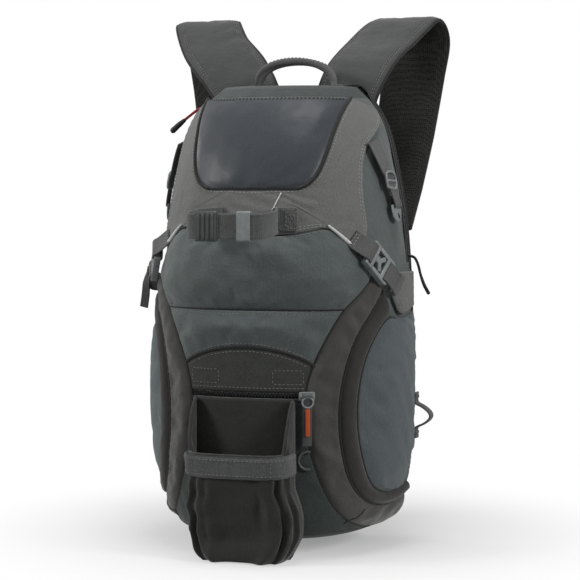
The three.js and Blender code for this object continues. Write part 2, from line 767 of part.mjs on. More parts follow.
// The compression straps: webbing from the yoke's arm, a side-release buckle whose
// forked tongue lies in its open frame, webbing to the gusset and the gusset itself
const buckleOff = SKIN_GAP + CLOTH + WING_RAISE + SEAT + BUCKLE_THICK / 2;
const buckleReach = BUCKLE_HEAD + BUCKLE_BODY + SEAT;

function buckleFrame() {
  const shape = polygon([
    [-BUCKLE_BODY / 2, -BUCKLE_WIDTH / 2],
    [BUCKLE_BODY / 2 - 2, -BUCKLE_WIDTH / 2],
    [BUCKLE_BODY / 2, -BUCKLE_WIDTH / 2 + 2],
    [BUCKLE_BODY / 2, BUCKLE_WIDTH / 2 - 2],
    [BUCKLE_BODY / 2 - 2, BUCKLE_WIDTH / 2],
    [-BUCKLE_BODY / 2, BUCKLE_WIDTH / 2],
    [-BUCKLE_BODY / 2, BUCKLE_WIDTH / 2 - BUCKLE_FRAME],
    [BUCKLE_BODY / 2 - BUCKLE_SLOT - 2 * BUCKLE_FRAME, BUCKLE_WIDTH / 2 - BUCKLE_FRAME],
    [BUCKLE_BODY / 2 - BUCKLE_SLOT - 2 * BUCKLE_FRAME, -BUCKLE_WIDTH / 2 + BUCKLE_FRAME],
    [-BUCKLE_BODY / 2, -BUCKLE_WIDTH / 2 + BUCKLE_FRAME],
  ]);
  const slotX = BUCKLE_BODY / 2 - BUCKLE_FRAME - BUCKLE_SLOT / 2;
  shape.holes.push(rectHole(slotX, 0, BUCKLE_SLOT, STRAP_WEB + 1));
  return plate(shape, BUCKLE_THICK);
}

function buckleTongue() {
  const inner = BUCKLE_WIDTH / 2 - BUCKLE_FRAME - SEAT;
  const depth = BUCKLE_BODY - BUCKLE_SLOT - 2 * BUCKLE_FRAME - 2 * SEAT;
  const stem = inner * 0.34;
  const prong = inner * 0.3;
  const shape = polygon([
    [-BUCKLE_HEAD, -BUCKLE_WIDTH / 2],
    [0, -BUCKLE_WIDTH / 2],
    [0, -stem],
    [depth * 0.35, -stem],
    [depth * 0.7, -inner],
    [depth, -inner + prong],
    [depth * 0.62, 0],
    [depth, inner - prong],
    [depth * 0.7, inner],
    [depth * 0.35, stem],
    [0, stem],
    [0, BUCKLE_WIDTH / 2],
    [-BUCKLE_HEAD, BUCKLE_WIDTH / 2],
  ]);
  shape.holes.push(rectHole(-BUCKLE_HEAD / 2, 0, BUCKLE_SLOT, STRAP_WEB + 1));
  return plate(shape, BUCKLE_THICK);
}

for (const [side, sign] of Object.entries(flip)) {
  const on = (place) => [sign * place[0], place[1]];
  const start = skin(on(BUCKLE_TOP), buckleOff).point;
  const end = skin(on(BUCKLE_LOW), buckleOff).point;
  const middle = skin(on(mixPlace(BUCKLE_TOP, BUCKLE_LOW, 0.5)), 0);
  const along = end.clone().sub(start).normalize();
  const normal = middle.normal.clone().addScaledVector(along, -middle.normal.dot(along)).normalize();
  const across = normal.clone().cross(along);
  const centre = middle.point.clone().addScaledVector(normal, buckleOff);
  const local = (x, z) => centre.clone().addScaledVector(along, x).addScaledVector(normal, z);

  const frameX = buckleReach / 2 - BUCKLE_BODY / 2;
  const tongueX = -buckleReach / 2 + BUCKLE_HEAD;
  const tongueSlot = tongueX - BUCKLE_HEAD / 2;
  const frameSlot = buckleReach / 2 - BUCKLE_FRAME - BUCKLE_SLOT / 2;
  placeMesh(addPiece(`buckle_frame_${side}`, buckleFrame(), 'plastic'), local(frameX, 0), along, normal);
  placeMesh(addPiece(`buckle_tongue_${side}`, buckleTongue(), 'plastic'), local(tongueX, 0), along, normal);

  const over = BUCKLE_THICK / 2 + SEAT + WEB_THICK / 2;
  const sewnPlace = on(mixPlace(BUCKLE_TOP, BUCKLE_LOW, -0.22));
  const sewn = skin(sewnPlace, SKIN_GAP + CLOTH + 3 * SEAT + WEB_THICK / 2).point;
  const topEnd = [sewn, local(-buckleReach / 2, -over), local(tongueSlot, -over)];
  topEnd.push(local(tongueSlot + WEB_THICK / 4, 0));
  addPiece(`yoke_webbing_${side}`, strapThrough(topEnd, across, STRAP_WEB), 'webbing');

  const gussetOff = CLOTH;
  const rows = GUSSET_ROWS.map((row) => [on(row.upper), on(row.lower)]);
  addPiece(`side_gusset_${side}`, panel(rows, { lift: gussetOff, across: 2 }), 'webbing');
  const [firstPlace, nextPlace] = GUSSET_ROWS.map((row) => mixPlace(row.upper, row.lower, 0.5));
  const lowOff = SKIN_GAP + gussetOff + CLOTH + 4 * SEAT + WEB_THICK / 2;
  const gussetPoint = skin(on(mixPlace(firstPlace, nextPlace, 0.6)), lowOff).point;
  const lowEnd = [local(frameSlot - WEB_THICK / 4, 0), local(frameSlot, over)];
  lowEnd.push(local(buckleReach / 2 + BUCKLE_FRAME, over), gussetPoint);
  addPiece(`side_webbing_${side}`, strapThrough(lowEnd, across, STRAP_WEB), 'webbing');

  const hem = [pipingStart, mixPlace(pipingStart, armCorner, 0.58)].map(on);
  const pipingOff = SKIN_GAP + PANEL_CLOTH + 2 * SEAT;
  addPiece(`piping_${side}`, bandOnBag(hem, PIPING_WIDTH, PIPING_THICK, pipingOff), 'piping');

  // The D-ring's webbing runs down from the yoke and folds round the ring's bar
  const bar = skin(on(RING_PLACE), 0);
  const wrap = RING_WIRE / 2 + SEAT + WEB_THICK / 2;
  const barOff = SKIN_GAP + WEB_THICK + wrap + SEAT;
  const barPoint = bar.point.clone().addScaledVector(bar.normal, barOff);
  const barSide = bar.along.clone().addScaledVector(bar.up, -bar.along.dot(bar.up)).normalize();
  const up = bar.normal.clone().cross(barSide).normalize();
  const fold = (out, high) => barPoint.clone().addScaledVector(bar.normal, out).addScaledVector(up, high);
  const ringRoot = SKIN_GAP + CLOTH + WEB_THICK / 2 + SEAT / 4;
  const stations = [];
  for (let step = 0; step < 4; step += 1) {
    const place = mixPlace(RING_START, RING_PLACE, (step / 4) * 0.85);
    stations.push(skin(on(place), mix(ringRoot, barOff + wrap, step / 4)).point);
  }
  for (let step = 0; step <= 6; step += 1) {
    const angle = (step / 6) * Math.PI;
    stations.push(fold(Math.cos(angle) * wrap, -Math.sin(angle) * wrap));
  }
  stations.push(fold(-wrap, RING_DROP * 0.6));
  addPiece(`ring_strap_${side}`, strapThrough(stations, barSide, RING_WEB), 'webbing');

  const corners = [];
  const half = RING_BAR / 2;
  corners.push([-half * 0.5, 0], [half * 0.5, 0], [half, 0]);
  for (let step = 0; step <= 6; step += 1) {
    const angle = (step / 6) * Math.PI;
    corners.push([Math.cos(angle) * half, -RING_WIRE * 0.8 - Math.sin(angle) * (RING_DROP - RING_WIRE)]);
  }
  corners.push([-half, 0]);
  const ringRings = corners.map(([x, y], index) => {
    const [px, py] = corners[(index + corners.length - 1) % corners.length];
    const [nx, ny] = corners[(index + 1) % corners.length];
    const forward = new THREE.Vector2(nx - px, ny - py).normalize();
    return Array.from({ length: 6 }, (_, at) => {
      const angle = (at / 6) * 2 * Math.PI;
      const out = (Math.cos(angle) * RING_WIRE) / 2;
      const point = barPoint.clone().addScaledVector(barSide, x + forward.y * out);
      point.addScaledVector(up, y - forward.x * out);
      return point.addScaledVector(bar.normal, (Math.sin(angle) * RING_WIRE) / 2);
    });
  });
  addPiece(`d_ring_${side}`, loopLoft(ringRings), 'plastic');

  // The side loop: a webbing bow that stands out from the back seam
  const loopTop = skin(on(SIDE_LOOP_PLACE), SKIN_GAP);
  const bowOff = CLOTH + SIDE_RAISE * 0.5 + SEAT + WEB_THICK;
  const bow = [{ out: 0, low: -SIDE_LOOP_SEWN }];
  for (let step = 0; step <= 4; step += 1) {
    const angle = (step / 4) * Math.PI;
    bow.push({ out: Math.sin(angle) * SIDE_LOOP_REACH, low: (step / 4) * SIDE_LOOP_HEIGHT });
  }
  bow.push({ out: 0, low: SIDE_LOOP_HEIGHT + SIDE_LOOP_SEWN });
  const bowStations = bow.map(({ out, low }) => {
    const at = loopTop.point.clone().addScaledVector(loopTop.normal, bowOff + out);
    return { at: at.setZ(at.z - low), side: loopTop.along };
  });
  addPiece(`side_loop_${side}`, webbing(bowStations, SIDE_LOOP_WEB, WEB_THICK * 1.5), 'webbing');
}

// The tripod pouch: a pleated bucket sewn over the centre pocket, its sides rising to
// the zip and its bottom hanging below the base. Its section is walked by a turn from
// -1 to 1: the back lies on the bag for |turn| above half, the rest is the front.
const pouchBackOff = SKIN_GAP + CLOTH + CENTRE_RAISE + 3 * SEAT;
const pouchLow = -BODY_HEIGHT / 2 - POUCH_HANG;
const pouchTop = (ZIP_LOW - 0.5) * BODY_HEIGHT;
const pouchEdge = (POUCH_WIDTH / 2 / (BODY_WIDTH / 2)) * 0.5;

function pouchPoint(turn, z, grow) {
  const level = clamp((z - pouchLow) / (pouchTop - POUCH_RIM_DROP - pouchLow), 0, 1);
  const height = clamp(z / BODY_HEIGHT + 0.5, 0.035, 1);
  const belly = POUCH_BELLY * Math.sin(Math.PI * clamp(level * 1.5, 0, 1));
  const flare = 1 + belly - POUCH_TUCK * (1 - clamp(level * 5, 0, 1));
  if (Math.abs(turn) > 0.5) {
    const share = Math.sign(turn) * (1 - (Math.abs(turn) - 0.5) * 2);
    const back = skin([share * pouchEdge * flare, height], pouchBackOff - grow).point;
    return back.setZ(z);
  }
  const corner = skin([pouchEdge * flare, height], pouchBackOff).point;
  const angle = turn * Math.PI;
  const round = (value) => Math.sign(value) * Math.abs(value) ** 0.45;
  const pleat = PLEAT_DEPTH * Math.cos(turn * 2 * Math.PI * PLEATS) * (1 - level) * Math.cos(angle);
  const depth = POUCH_DEPTH * mix(0.8, 1, level) + grow - pleat;
  const x = round(Math.sin(angle)) * (corner.x + grow);
  return vector(x, corner.y - round(Math.cos(angle)) * depth, z);
}

const pouchTurn = (at, count) => -1 + (2 * (at + 0.5)) / count;

function pouchRing(share, grow, count, floor) {
  return Array.from({ length: count }, (_, at) => {
    const turn = pouchTurn(at, count);
    const reach = clamp((Math.abs(turn) - 0.36) / 0.14, 0, 1);
    const rim = pouchTop - mix(POUCH_RIM_DROP, 0, reach);
    return pouchPoint(turn, mix(pouchLow + floor, rim, share), grow);
  });
}

const pouchLevels = 6;
const pouchShares = Array.from({ length: pouchLevels + 1 }, (_, at) => (at / pouchLevels) ** 1.2);
const pouchCount = 32;
const pouchRings = pouchShares.map((share) => pouchRing(share, 0, pouchCount, 0));
const pouchInner = pouchShares.map((share) => pouchRing(share, -POUCH_WALL, pouchCount, POUCH_WALL));
pouchRings.push(...pouchInner.reverse());
addPiece('tripod_pouch', loft(pouchRings), 'dark');

function pouchBand() {
  const turns = Array.from({ length: pouchCount }, (_, at) => pouchTurn(at, pouchCount));
  const front = turns.filter((turn) => Math.abs(turn) < 0.48);
  const layer = (grow) => [0, 1].map((row) => front.map((turn) => {
    return pouchPoint(turn, pouchTop - POUCH_RIM_DROP - row * BAND_HEIGHT, grow);
  }));
  return slab(layer(3 * SEAT + BAND_THICK), layer(3 * SEAT));
}
addPiece('pouch_band', pouchBand(), 'webbing');

// The tripod strap: a webbing loop off the yoke's middle, with a clip and a slider
const loopHeight = 0.7;
const upright = vector(0, 0, 1);
function loopSewn(u) {
  const surface = skin([u, loopHeight], SKIN_GAP + CLOTH + 2 * SEAT + WEB_THICK / 2);
  return { at: surface.point, side: surface.up };
}
const loopRoot = loopSewn(0).at;
const loopFront = loopRoot.y - LOOP_REACH;
const loopZ = loopRoot.z - LOOP_DROOP;
const loopHalf = LOOP_WIDTH / 2;
const loopFree = (side, out) => {
  const at = vector(side * loopHalf, mix(loopRoot.y, loopFront, out), mix(loopRoot.z, loopZ, out));
  return { at, side: upright };
};
const sewnEnd = [SEWN_FIRST, (SEWN_FIRST + SEWN_LAST) / 2, SEWN_LAST];
const loopStations = sewnEnd.map(loopSewn);
loopStations.push(...LOOP_PATH.map(({ side, out }) => loopFree(side, out)));
loopStations.push(...[...sewnEnd].reverse().map((u) => loopSewn(-u)));
addPiece('tripod_strap', webbing(loopStations, LOOP_WEB), 'webbing');

// A flat sleeve that the webbing runs through
function sleeve(length, height, thick) {
  const outer = roundedRect(thick, height, 1.5);
  outer.holes.push(rectHole(0, 0, WEB_THICK + 2 * SEAT, height - 2 * SLEEVE_WALL));
  return plate(outer, length, 1);
}
function threadSleeve(name, length, x) {
  const grow = 2 * (SEAT + SLEEVE_WALL);
  const mesh = addPiece(name, sleeve(length, LOOP_WEB + grow, WEB_THICK + grow), 'plastic');
  placeMesh(mesh, vector(x, loopFront, loopZ), vector(0, 1, 0), vector(1, 0, 0));
}
threadSleeve('strap_slider', SLIDER_LENGTH, loopHalf * 0.35);
threadSleeve('strap_clip', CLIP_LENGTH, -loopHalf * 0.5);

// The grab handle: a padded bow on two feet, sewn over the top seam
function grabHandle() {
  const top = BODY_HEIGHT / 2 + SEAT;
  const steps = 12;
  const centre = -HANDLE_WIDTH / 2;
  const arcRings = [];
  const half = HANDLE_SPAN / 2;
  const put = (x, z, nx, nz, thick) => {
    const wide = HANDLE_WIDTH / 2;
    const corners = [...HANDLE_SECTION, ...HANDLE_SECTION.map(opposite)];
    arcRings.push(corners.map((corner) => {
      const out = (corner.thick * thick) / 2;
      return vector(x + nx * out, centre + corner.wide * wide, z + nz * out);
    }));
  };
  put(-half - FOOT_LENGTH / 2, top + FOOT_THICK / 2, 0, 1, FOOT_THICK);
  put(-half + 1, top + FOOT_THICK / 2, 0, 1, FOOT_THICK);
  for (let step = 1; step < steps; step += 1) {
    const angle = Math.PI * (1 - step / steps);
    const thick = mix(FOOT_THICK, HANDLE_THICK, Math.min(1, Math.sin(angle) * 1.6));
    const rise = HANDLE_RISE - HANDLE_THICK / 2;
    const height = top + FOOT_THICK + Math.sin(angle) ** 0.75 * rise;
    put(Math.cos(angle) * half, height, Math.cos(angle), Math.sin(angle), thick);
  }
  put(half - 1, top + FOOT_THICK / 2, 0, 1, FOOT_THICK);
  put(half + FOOT_LENGTH / 2, top + FOOT_THICK / 2, 0, 1, FOOT_THICK);
  return loft(arcRings);
}
addPiece('grab_handle', grabHandle(), 'webbing');

// Shoulder straps: padded bands that rise from the wearer's panel, bend over and fall
// back to a ladder lock, from which webbing runs down to the foot of the panel
const strapOff = SEAT + STRAP_THICK / 2;

function strapPoint({ across, outward, height, thick }) {
  const lift = outward ? strapOff : 2 * SEAT + (STRAP_THICK * thick) / 2;
  return vector((across * BODY_WIDTH) / 2, lift + outward * STRAP_REACH, height * STRAP_RISE);
}

function shoulderStrap(table) {
  const curve = new THREE.CatmullRomCurve3(table.map(strapPoint), false, 'centripetal');
  const steps = 2 * (table.length - 1);
  const rings = [];
  for (let step = 0; step <= steps; step += 1) {
    const at = curve.getPoint(step / steps);
    const forward = curve.getTangent(step / steps);
    const side = vector(1, 0, 0).addScaledVector(forward, -forward.x).normalize();
    const up = forward.clone().cross(side).normalize();
    const row = table[Math.floor(step / 2)];
    const next = table[Math.min(Math.floor(step / 2) + 1, table.length - 1)];
    const wide = (mix(row.wide, next.wide, (step % 2) / 2) * STRAP_WIDTH) / 2;
    const thick = (mix(row.thick, next.thick, (step % 2) / 2) * STRAP_THICK) / 2;
    const corners = [...STRAP_SECTION, ...STRAP_SECTION.map(opposite)];
    rings.push(corners.map((corner) => {
      return at.clone().addScaledVector(side, corner.wide * wide).addScaledVector(up, corner.thick * thick);
    }));
  }
  return loft(rings);
}

for (const [side, table, sign] of [['right', RIGHT_STRAP, 1], ['left', LEFT_STRAP, -1]]) {
  addPiece(`shoulder_strap_${side}`, shoulderStrap(table), 'yoke');
  const [before, last] = table.slice(-2).map(strapPoint);
  const forward = last.clone().sub(before).normalize();
  const across = vector(1, 0, 0).addScaledVector(forward, -forward.x).normalize();
  const normal = forward.clone().cross(across).normalize();
  const [lockX, lockY] = [LOCK_LENGTH / 2, LOCK_WIDTH / 2];
  const lock = polygon([
    [-lockX, -lockY],
    [lockX - LOCK_CORNER, -lockY],
    [lockX, -lockY + LOCK_CORNER],
    [lockX, lockY - LOCK_CORNER],
    [lockX - LOCK_CORNER, lockY],
    [-lockX, lockY],
  ]);
  const slotWide = LOWER_WEB + 2 * SEAT;
  const slotX = LOCK_LENGTH / 2 - BUCKLE_FRAME - BUCKLE_SLOT / 2;
  lock.holes.push(rectHole(slotX, 0, BUCKLE_SLOT, slotWide));
  lock.holes.push(rectHole(-slotX, 0, BUCKLE_SLOT, LOCK_STRAP_SLOT));
  const lockAt = last.clone().addScaledVector(forward, LOCK_LENGTH / 2 + SEAT);
  placeMesh(addPiece(`ladder_lock_${side}`, plate(lock, LOCK_THICK), 'plastic'), lockAt, forward, normal);

  const anchorX = (sign * WEB_ANCHOR.across * BODY_WIDTH) / 2;
  const anchor = vector(anchorX, SEAT + WEB_THICK / 2, WEB_ANCHOR.height * BODY_HEIGHT);
  const outside = LOCK_THICK / 2 + SEAT + WEB_THICK / 2;
  const at = (x, z) => lockAt.clone().addScaledVector(forward, x).addScaledVector(normal, z * -1);
  const level = vector(1, 0, 0);
  const route = [at(slotX, 0), at(slotX, outside), at(lockX + LOCK_CORNER, outside)];
  const stations = route.map((point) => ({ at: point, side: across }));
  const middle = vector(mix(last.x, anchor.x, 0.5), STRAP_THICK * 0.8, mix(last.z, anchor.z, 0.45));
  stations.push({ at: middle, side: level });
  stations.push({ at: anchor.clone().setZ(anchor.z + LOWER_WEB), side: level });
  stations.push({ at: anchor, side: level });
  addPiece(`lower_webbing_${side}`, webbing(stations, LOWER_WEB), 'webbing');
}

// The front zip's slider and hanging pull: the pull's top is a sleeve that turns on the
// slider's bridge
const bridgeRadius = BRIDGE_WIRE * Math.SQRT1_2;
const pullHole = bridgeRadius + BRIDGE_CLEAR;
const pullTop = pullHole + PULL_THICK * 0.42;
const crest = pullTop + SEAT + SLIDER_BASE / 2;
const sliderPlace = skin(FRONT_SLIDER, 0);
const sliderAlong = sliderPlace.along.clone().setZ(0).normalize();
const sliderOut = sliderAlong.clone().cross(upright).normalize();
const sliderBase = SKIN_GAP + CLOTH + WING_RAISE * 0.65 + SEAT + SLIDER_BASE / 2;
const sliderAt = sliderPlace.point.clone().addScaledVector(sliderOut, sliderBase);

function frontSlider() {
  const inner = PULL_WIDTH / 2 + BRIDGE_CLEAR;
  const outer = inner + BRIDGE_WIRE;
  const bow = polygon([
    [-outer, 0], [-outer, crest + BRIDGE_WIRE / 2], [outer, crest + BRIDGE_WIRE / 2], [outer, 0],
    [inner, 0], [inner, crest - BRIDGE_WIRE / 2], [-inner, crest - BRIDGE_WIRE / 2], [-inner, 0],
  ]);
  const base = roundedRect(2 * outer + 1, SLIDER_HEIGHT, 2);
  const bridge = plate(bow, BRIDGE_WIRE).rotateX(Math.PI / 2);
  return joined(plate(base, SLIDER_BASE), bridge);
}

// A tab whose profile is a ring with a tongue, extruded across its width
function hangingPull() {
  const half = PULL_THICK / 2;
  const shape = new THREE.Shape();
  const open = Math.asin(half / pullTop);
  shape.moveTo(half, -PULL_LENGTH);
  shape.absarc(0, 0, pullTop, -Math.PI / 2 + open, -Math.PI / 2 - open, false);
  shape.lineTo(-half, -PULL_LENGTH);
  shape.closePath();
  const hole = new THREE.Path();
  hole.absarc(0, 0, pullHole, 0, 2 * Math.PI, true);
  shape.holes.push(hole);
  return plate(shape, PULL_WIDTH, 7);
}
placeMesh(addPiece('front_slider', frontSlider(), 'plastic'), sliderAt, sliderAlong, sliderOut);
const crestAt = sliderAt.clone().addScaledVector(sliderOut, crest);
const pullAcross = sliderAlong.clone().negate();
placeMesh(addPiece('front_zip_pull', hangingPull(), 'orange'), crestAt, sliderOut, pullAcross);

// Small zip pulls: a loop low on the right, cords at the right seam and the left top
function cordOn(place, off, table, thick) {
  const surface = skin(place, off);
  const points = table.map(({ out, along, up }) => {
    const point = surface.point.clone().addScaledVector(surface.normal, out);
    return point.addScaledVector(surface.along, along).setZ(surface.point.z + up);
  });
  return rod(points, table.map((row) => row.thick * thick));
}
const loopSteps = 8;
const lowLoop = Array.from({ length: loopSteps + 1 }, (_, at) => {
  const angle = Math.PI * mix(0.42, 1.58, at / loopSteps);
  const up = LOW_LOOP * (Math.sin(angle) - 1);
  return { out: 0, along: LOW_LOOP * Math.cos(angle), up, thick: 1 };
});
const lowOff = SKIN_GAP + CLOTH + CORD_THICK / 2 + 2 * SEAT;
addPiece('low_pull', cordOn(LOW_PULL_PLACE, lowOff, lowLoop, CORD_THICK), 'dark');

const cordOff = CORD_THICK / 4 + SEAT;
addPiece('side_pull', cordOn(SIDE_PULL_PLACE, cordOff, SIDE_PULL, CORD_THICK), 'dark');
const topOff = SKIN_GAP + CLOTH + cordOff;
addPiece('top_cord', cordOn(TOP_PULL_PLACE, topOff, TOP_CORD, CORD_THICK), 'red');
addPiece('top_grip', cordOn(TOP_PULL_PLACE, topOff, TOP_GRIP, CORD_THICK), 'dark');

export default backpack;
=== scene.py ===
# A camera backpack dressed in cloth, webbing and moulded hardware.
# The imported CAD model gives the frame. Lengths are in millimetres until a mesh is made,
# and places on the bag are (u, v): u from -1 at the left back seam over 0 at the middle
# of the front to 1 at the right back seam, v from 0 at the base to 1 at the top.

import json
import math

import bpy
import numpy as np
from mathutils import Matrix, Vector
from mathutils.bvhtree import BVHTree


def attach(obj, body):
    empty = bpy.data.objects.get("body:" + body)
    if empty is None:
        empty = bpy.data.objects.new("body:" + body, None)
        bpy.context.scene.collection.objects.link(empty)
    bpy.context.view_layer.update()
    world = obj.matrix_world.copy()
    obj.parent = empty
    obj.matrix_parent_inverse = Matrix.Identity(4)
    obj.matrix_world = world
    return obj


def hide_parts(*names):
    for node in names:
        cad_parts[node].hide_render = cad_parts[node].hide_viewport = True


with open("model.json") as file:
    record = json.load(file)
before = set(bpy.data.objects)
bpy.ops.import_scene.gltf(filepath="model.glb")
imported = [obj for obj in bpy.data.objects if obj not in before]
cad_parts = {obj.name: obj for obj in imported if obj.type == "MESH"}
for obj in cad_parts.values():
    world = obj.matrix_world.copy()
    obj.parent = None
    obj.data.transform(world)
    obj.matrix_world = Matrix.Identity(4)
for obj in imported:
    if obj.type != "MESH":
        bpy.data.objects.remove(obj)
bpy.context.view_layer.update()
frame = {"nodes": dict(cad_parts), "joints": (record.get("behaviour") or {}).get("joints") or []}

MM = 0.001
SIDES = (("right", 1), ("left", -1))

# The bag's body and the clearances of the CAD model
BODY_HEIGHT = 466
BODY_WIDTH = 264
BODY_DEPTH = 166
CORNER_POWER = 2.5
BACK_PAD = 16
SKIN_GAP = 1
SEAT = 0.4
CLOTH = 2.4
PANEL_CLOTH = 2.8
BIB_CLOTH = 3

# Looks: a seam's half gap, the roll of a panel's edge, and stitches
SEAM_HALF = 0.3
EDGE_ROLL = 2.4
STITCH_LENGTH = 2.8
STITCH_GAP = 1.4
STITCH_WIDE = 0.75
STITCH_HIGH = 0.45
CORD_STEP = 3.0
SEWN_OFF = 0.1
SEWN_TRIM = 0.02
RIPPLE_WAVES = 10
DOME_POWER = 2.4
ROD_SIDES = 6
SWELL_CAP = 3.0
PUCKER_PITCH = 7.3
PUCKER_REACH = 5.0

SECTIONS = np.array([
    (0.0, 0.76, 0.9),
    (0.03, 0.865, 0.95),
    (0.08, 0.935, 0.98),
    (0.16, 0.98, 1.0),
    (0.27, 1.0, 1.0),
    (0.42, 1.0, 1.0),
    (0.56, 0.985, 0.98),
    (0.7, 0.945, 0.93),
    (0.82, 0.875, 0.84),
    (0.91, 0.79, 0.7),
    (0.965, 0.68, 0.56),
    (1.0, 0.56, 0.42),
])

# Seams of each side from the top to the base
POCKET_SEAM = [
    (0.745, 0.466), (0.69, 0.479), (0.637, 0.485), (0.57, 0.463), (0.52, 0.432), (0.487, 0.402),
    (0.465, 0.372), (0.45, 0.332), (0.442, 0.292), (0.444, 0.25), (0.456, 0.206), (0.491, 0.146),
    (0.544, 0.107), (0.65, 0.088), (0.8, 0.092), (0.94, 0.102),
]
REAR_HEIGHTS = [
    0.488, 0.474, 0.46, 0.44, 0.42, 0.395, 0.368, 0.33, 0.292, 0.25, 0.208, 0.165, 0.14, 0.125,
    0.112, 0.103,
]
RIM_SEAM = [
    (0.595, 0.542), (0.51, 0.491), (0.465, 0.464), (0.43, 0.436), (0.397, 0.392), (0.374, 0.34),
    (0.364, 0.294), (0.364, 0.25), (0.372, 0.206), (0.397, 0.144), (0.45, 0.1), (0.556, 0.066),
    (0.74, 0.06), (0.975, 0.074),
]
WING_SEAM = [
    (0.53, 0.572), (0.45, 0.533), (0.385, 0.507), (0.325, 0.458), (0.272, 0.403), (0.238, 0.35),
    (0.228, 0.3), (0.232, 0.25), (0.246, 0.204), (0.284, 0.136), (0.335, 0.08), (0.42, 0.034),
    (0.6, 0.012), (0.975, 0.012),
]
REAR_U = 0.985
BIB_SEAM = [
    (0.6, 0.968), (0.52, 0.95), (0.45, 0.925), (0.385, 0.885), (0.335, 0.837), (0.29, 0.795),
    (0.245, 0.773), (0.2, 0.765), (0.16, 0.765), (0.13, 0.765), (0.1, 0.765), (0.07, 0.765),
    (0.04, 0.765), (0.0, 0.765),
]
HEM_SEAM = [
    (0.86, 0.945), (0.82, 0.912), (0.68, 0.885), (0.59, 0.86), (0.54, 0.825), (0.52, 0.78),
    (0.515, 0.733), (0.53, 0.68), (0.502, 0.645), (0.445, 0.634), (0.327, 0.686), (0.26, 0.676),
    (0.17, 0.667), (0.0, 0.665),
]
BIB_ROWS = 7
ARM_ROW = 8
POCKET_ROW = 10
SLOT_V = 0.505
PATCH_V = (0.345, 0.375)
ARC_END = 0.386
ARC_MIDDLE = 0.424
ZIP_TOP = 0.327
ZIP_LOW = 0.315
CENTRE_LOW = 0.012


# The bag's surface, for arrays of places

def section_at(v):
    v = np.clip(v, 0, 1)
    heights = SECTIONS[:, 0]
    last = len(SECTIONS) - 1
    low = np.clip(np.searchsorted(heights, v, side="right") - 1, 0, last - 1)
    high = low + 1
    before = np.clip(low - 1, 0, last)
    after = np.clip(high + 1, 0, last)
    step = heights[high] - heights[low]
    at = (v - heights[low]) / step
    found = []
    for column in (1, 2):
        value = SECTIONS[:, column]
        slope_low = (value[high] - value[before]) / (heights[high] - heights[before]) * step
        slope_high = (value[after] - value[low]) / (heights[after] - heights[low]) * step
        curve = (2 * at**3 - 3 * at**2 + 1) * value[low] + (at**3 - 2 * at**2 + at) * slope_low
        curve += (3 * at**2 - 2 * at**3) * value[high] + (at**3 - at**2) * slope_high
        found.append(curve)
    return found


def body_point(u, v):
    u, v = np.broadcast_arrays(np.asarray(u, float), np.asarray(v, float))
    width, depth = section_at(v)
    angle = u * np.pi / 2
    across = np.abs(np.sin(angle)) / (width * BODY_WIDTH / 2)
    outward = np.abs(np.cos(angle)) / (depth * BODY_DEPTH)
    reach = (across**CORNER_POWER + outward**CORNER_POWER) ** (-1 / CORNER_POWER)
    height = (v - 0.5) * BODY_HEIGHT
    return np.stack([reach * np.sin(angle), -BACK_PAD - reach * np.cos(angle), height], -1)


def unit(vectors):
    return vectors / np.maximum(np.linalg.norm(vectors, axis=-1, keepdims=True), 1e-12)


def skin(u, v, off=0.0):
    """Points raised by off, their normals and their two directions."""
    u, v = np.asarray(u, float), np.asarray(v, float)
    step = 0.001
    along = unit(body_point(u + step, v) - body_point(u - step, v))
    up = unit(body_point(u, np.minimum(v + step, 1)) - body_point(u, np.maximum(v - step, 0)))
    normal = unit(np.cross(along, up))
    points = body_point(u, v) + normal * np.asarray(off)[..., None]
    return points, normal, along, up


def read_at(at, known, values):
    """Rows of values read at places between the known ones, column by column."""
    return np.stack([np.interp(at, known, values[:, k]) for k in range(values.shape[1])], -1)


class Seam:
    """A smooth line of places through a table's rows; at() takes a share of its rows."""

    def __init__(self, places, sigma=0.32, per=16):
        rows = np.array(places, float)
        self.last = len(rows) - 1
        share = np.linspace(0, self.last, self.last * per + 1)
        dense = read_at(share, np.arange(len(rows)), rows)
        reach = int(3 * sigma * per)
        kernel = np.exp(-0.5 * (np.arange(-reach, reach + 1) / (sigma * per)) ** 2)
        kernel /= kernel.sum()
        before = 2 * dense[0] - dense[reach:0:-1]
        after = 2 * dense[-1] - dense[-2:-reach - 2:-1]
        padded = np.concatenate([before, dense, after])
        smooth = [np.convolve(padded[:, k], kernel, mode="valid") for k in (0, 1)]
        self.places = np.stack(smooth, -1)
        self.share = share

    def at(self, row):
        return [np.interp(row, self.share, self.places[:, k]) for k in (0, 1)]

    def u_at(self, v):
        order = np.argsort(self.places[:, 1])
        return np.interp(v, self.places[order, 1], self.places[order, 0])


def mirrored(places):
    return [*places, *[(-u, v) for u, v in places[-2::-1]]]


pocket_seam = Seam(POCKET_SEAM)
rear_seam = Seam([(REAR_U, v) for v in REAR_HEIGHTS])
rim_seam = Seam(RIM_SEAM)
wing_seam = Seam(WING_SEAM)
bib_seam = Seam(mirrored(BIB_SEAM))
hem_seam = Seam(mirrored(HEM_SEAM))


def ripple(x, y, wavelength, seed):
    """Smooth noise of about unit size over a plane in millimetres."""
    random = np.random.default_rng(seed)
    total = np.zeros(np.broadcast(x, y).shape)
    for _ in range(RIPPLE_WAVES):
        turn, phase = random.uniform(0, 2 * np.pi, 2)
        size = 2 * np.pi / wavelength * random.uniform(0.6, 1.5)
        total += np.cos(x * size * np.cos(turn) + y * size * np.sin(turn) + phase)
    return total / math.sqrt(RIPPLE_WAVES / 2)


def dome(share):
    """A padded panel's height across it, 0 at its seams and 1 in its middle."""
    return 1 - np.abs(2 * share - 1) ** DOME_POWER


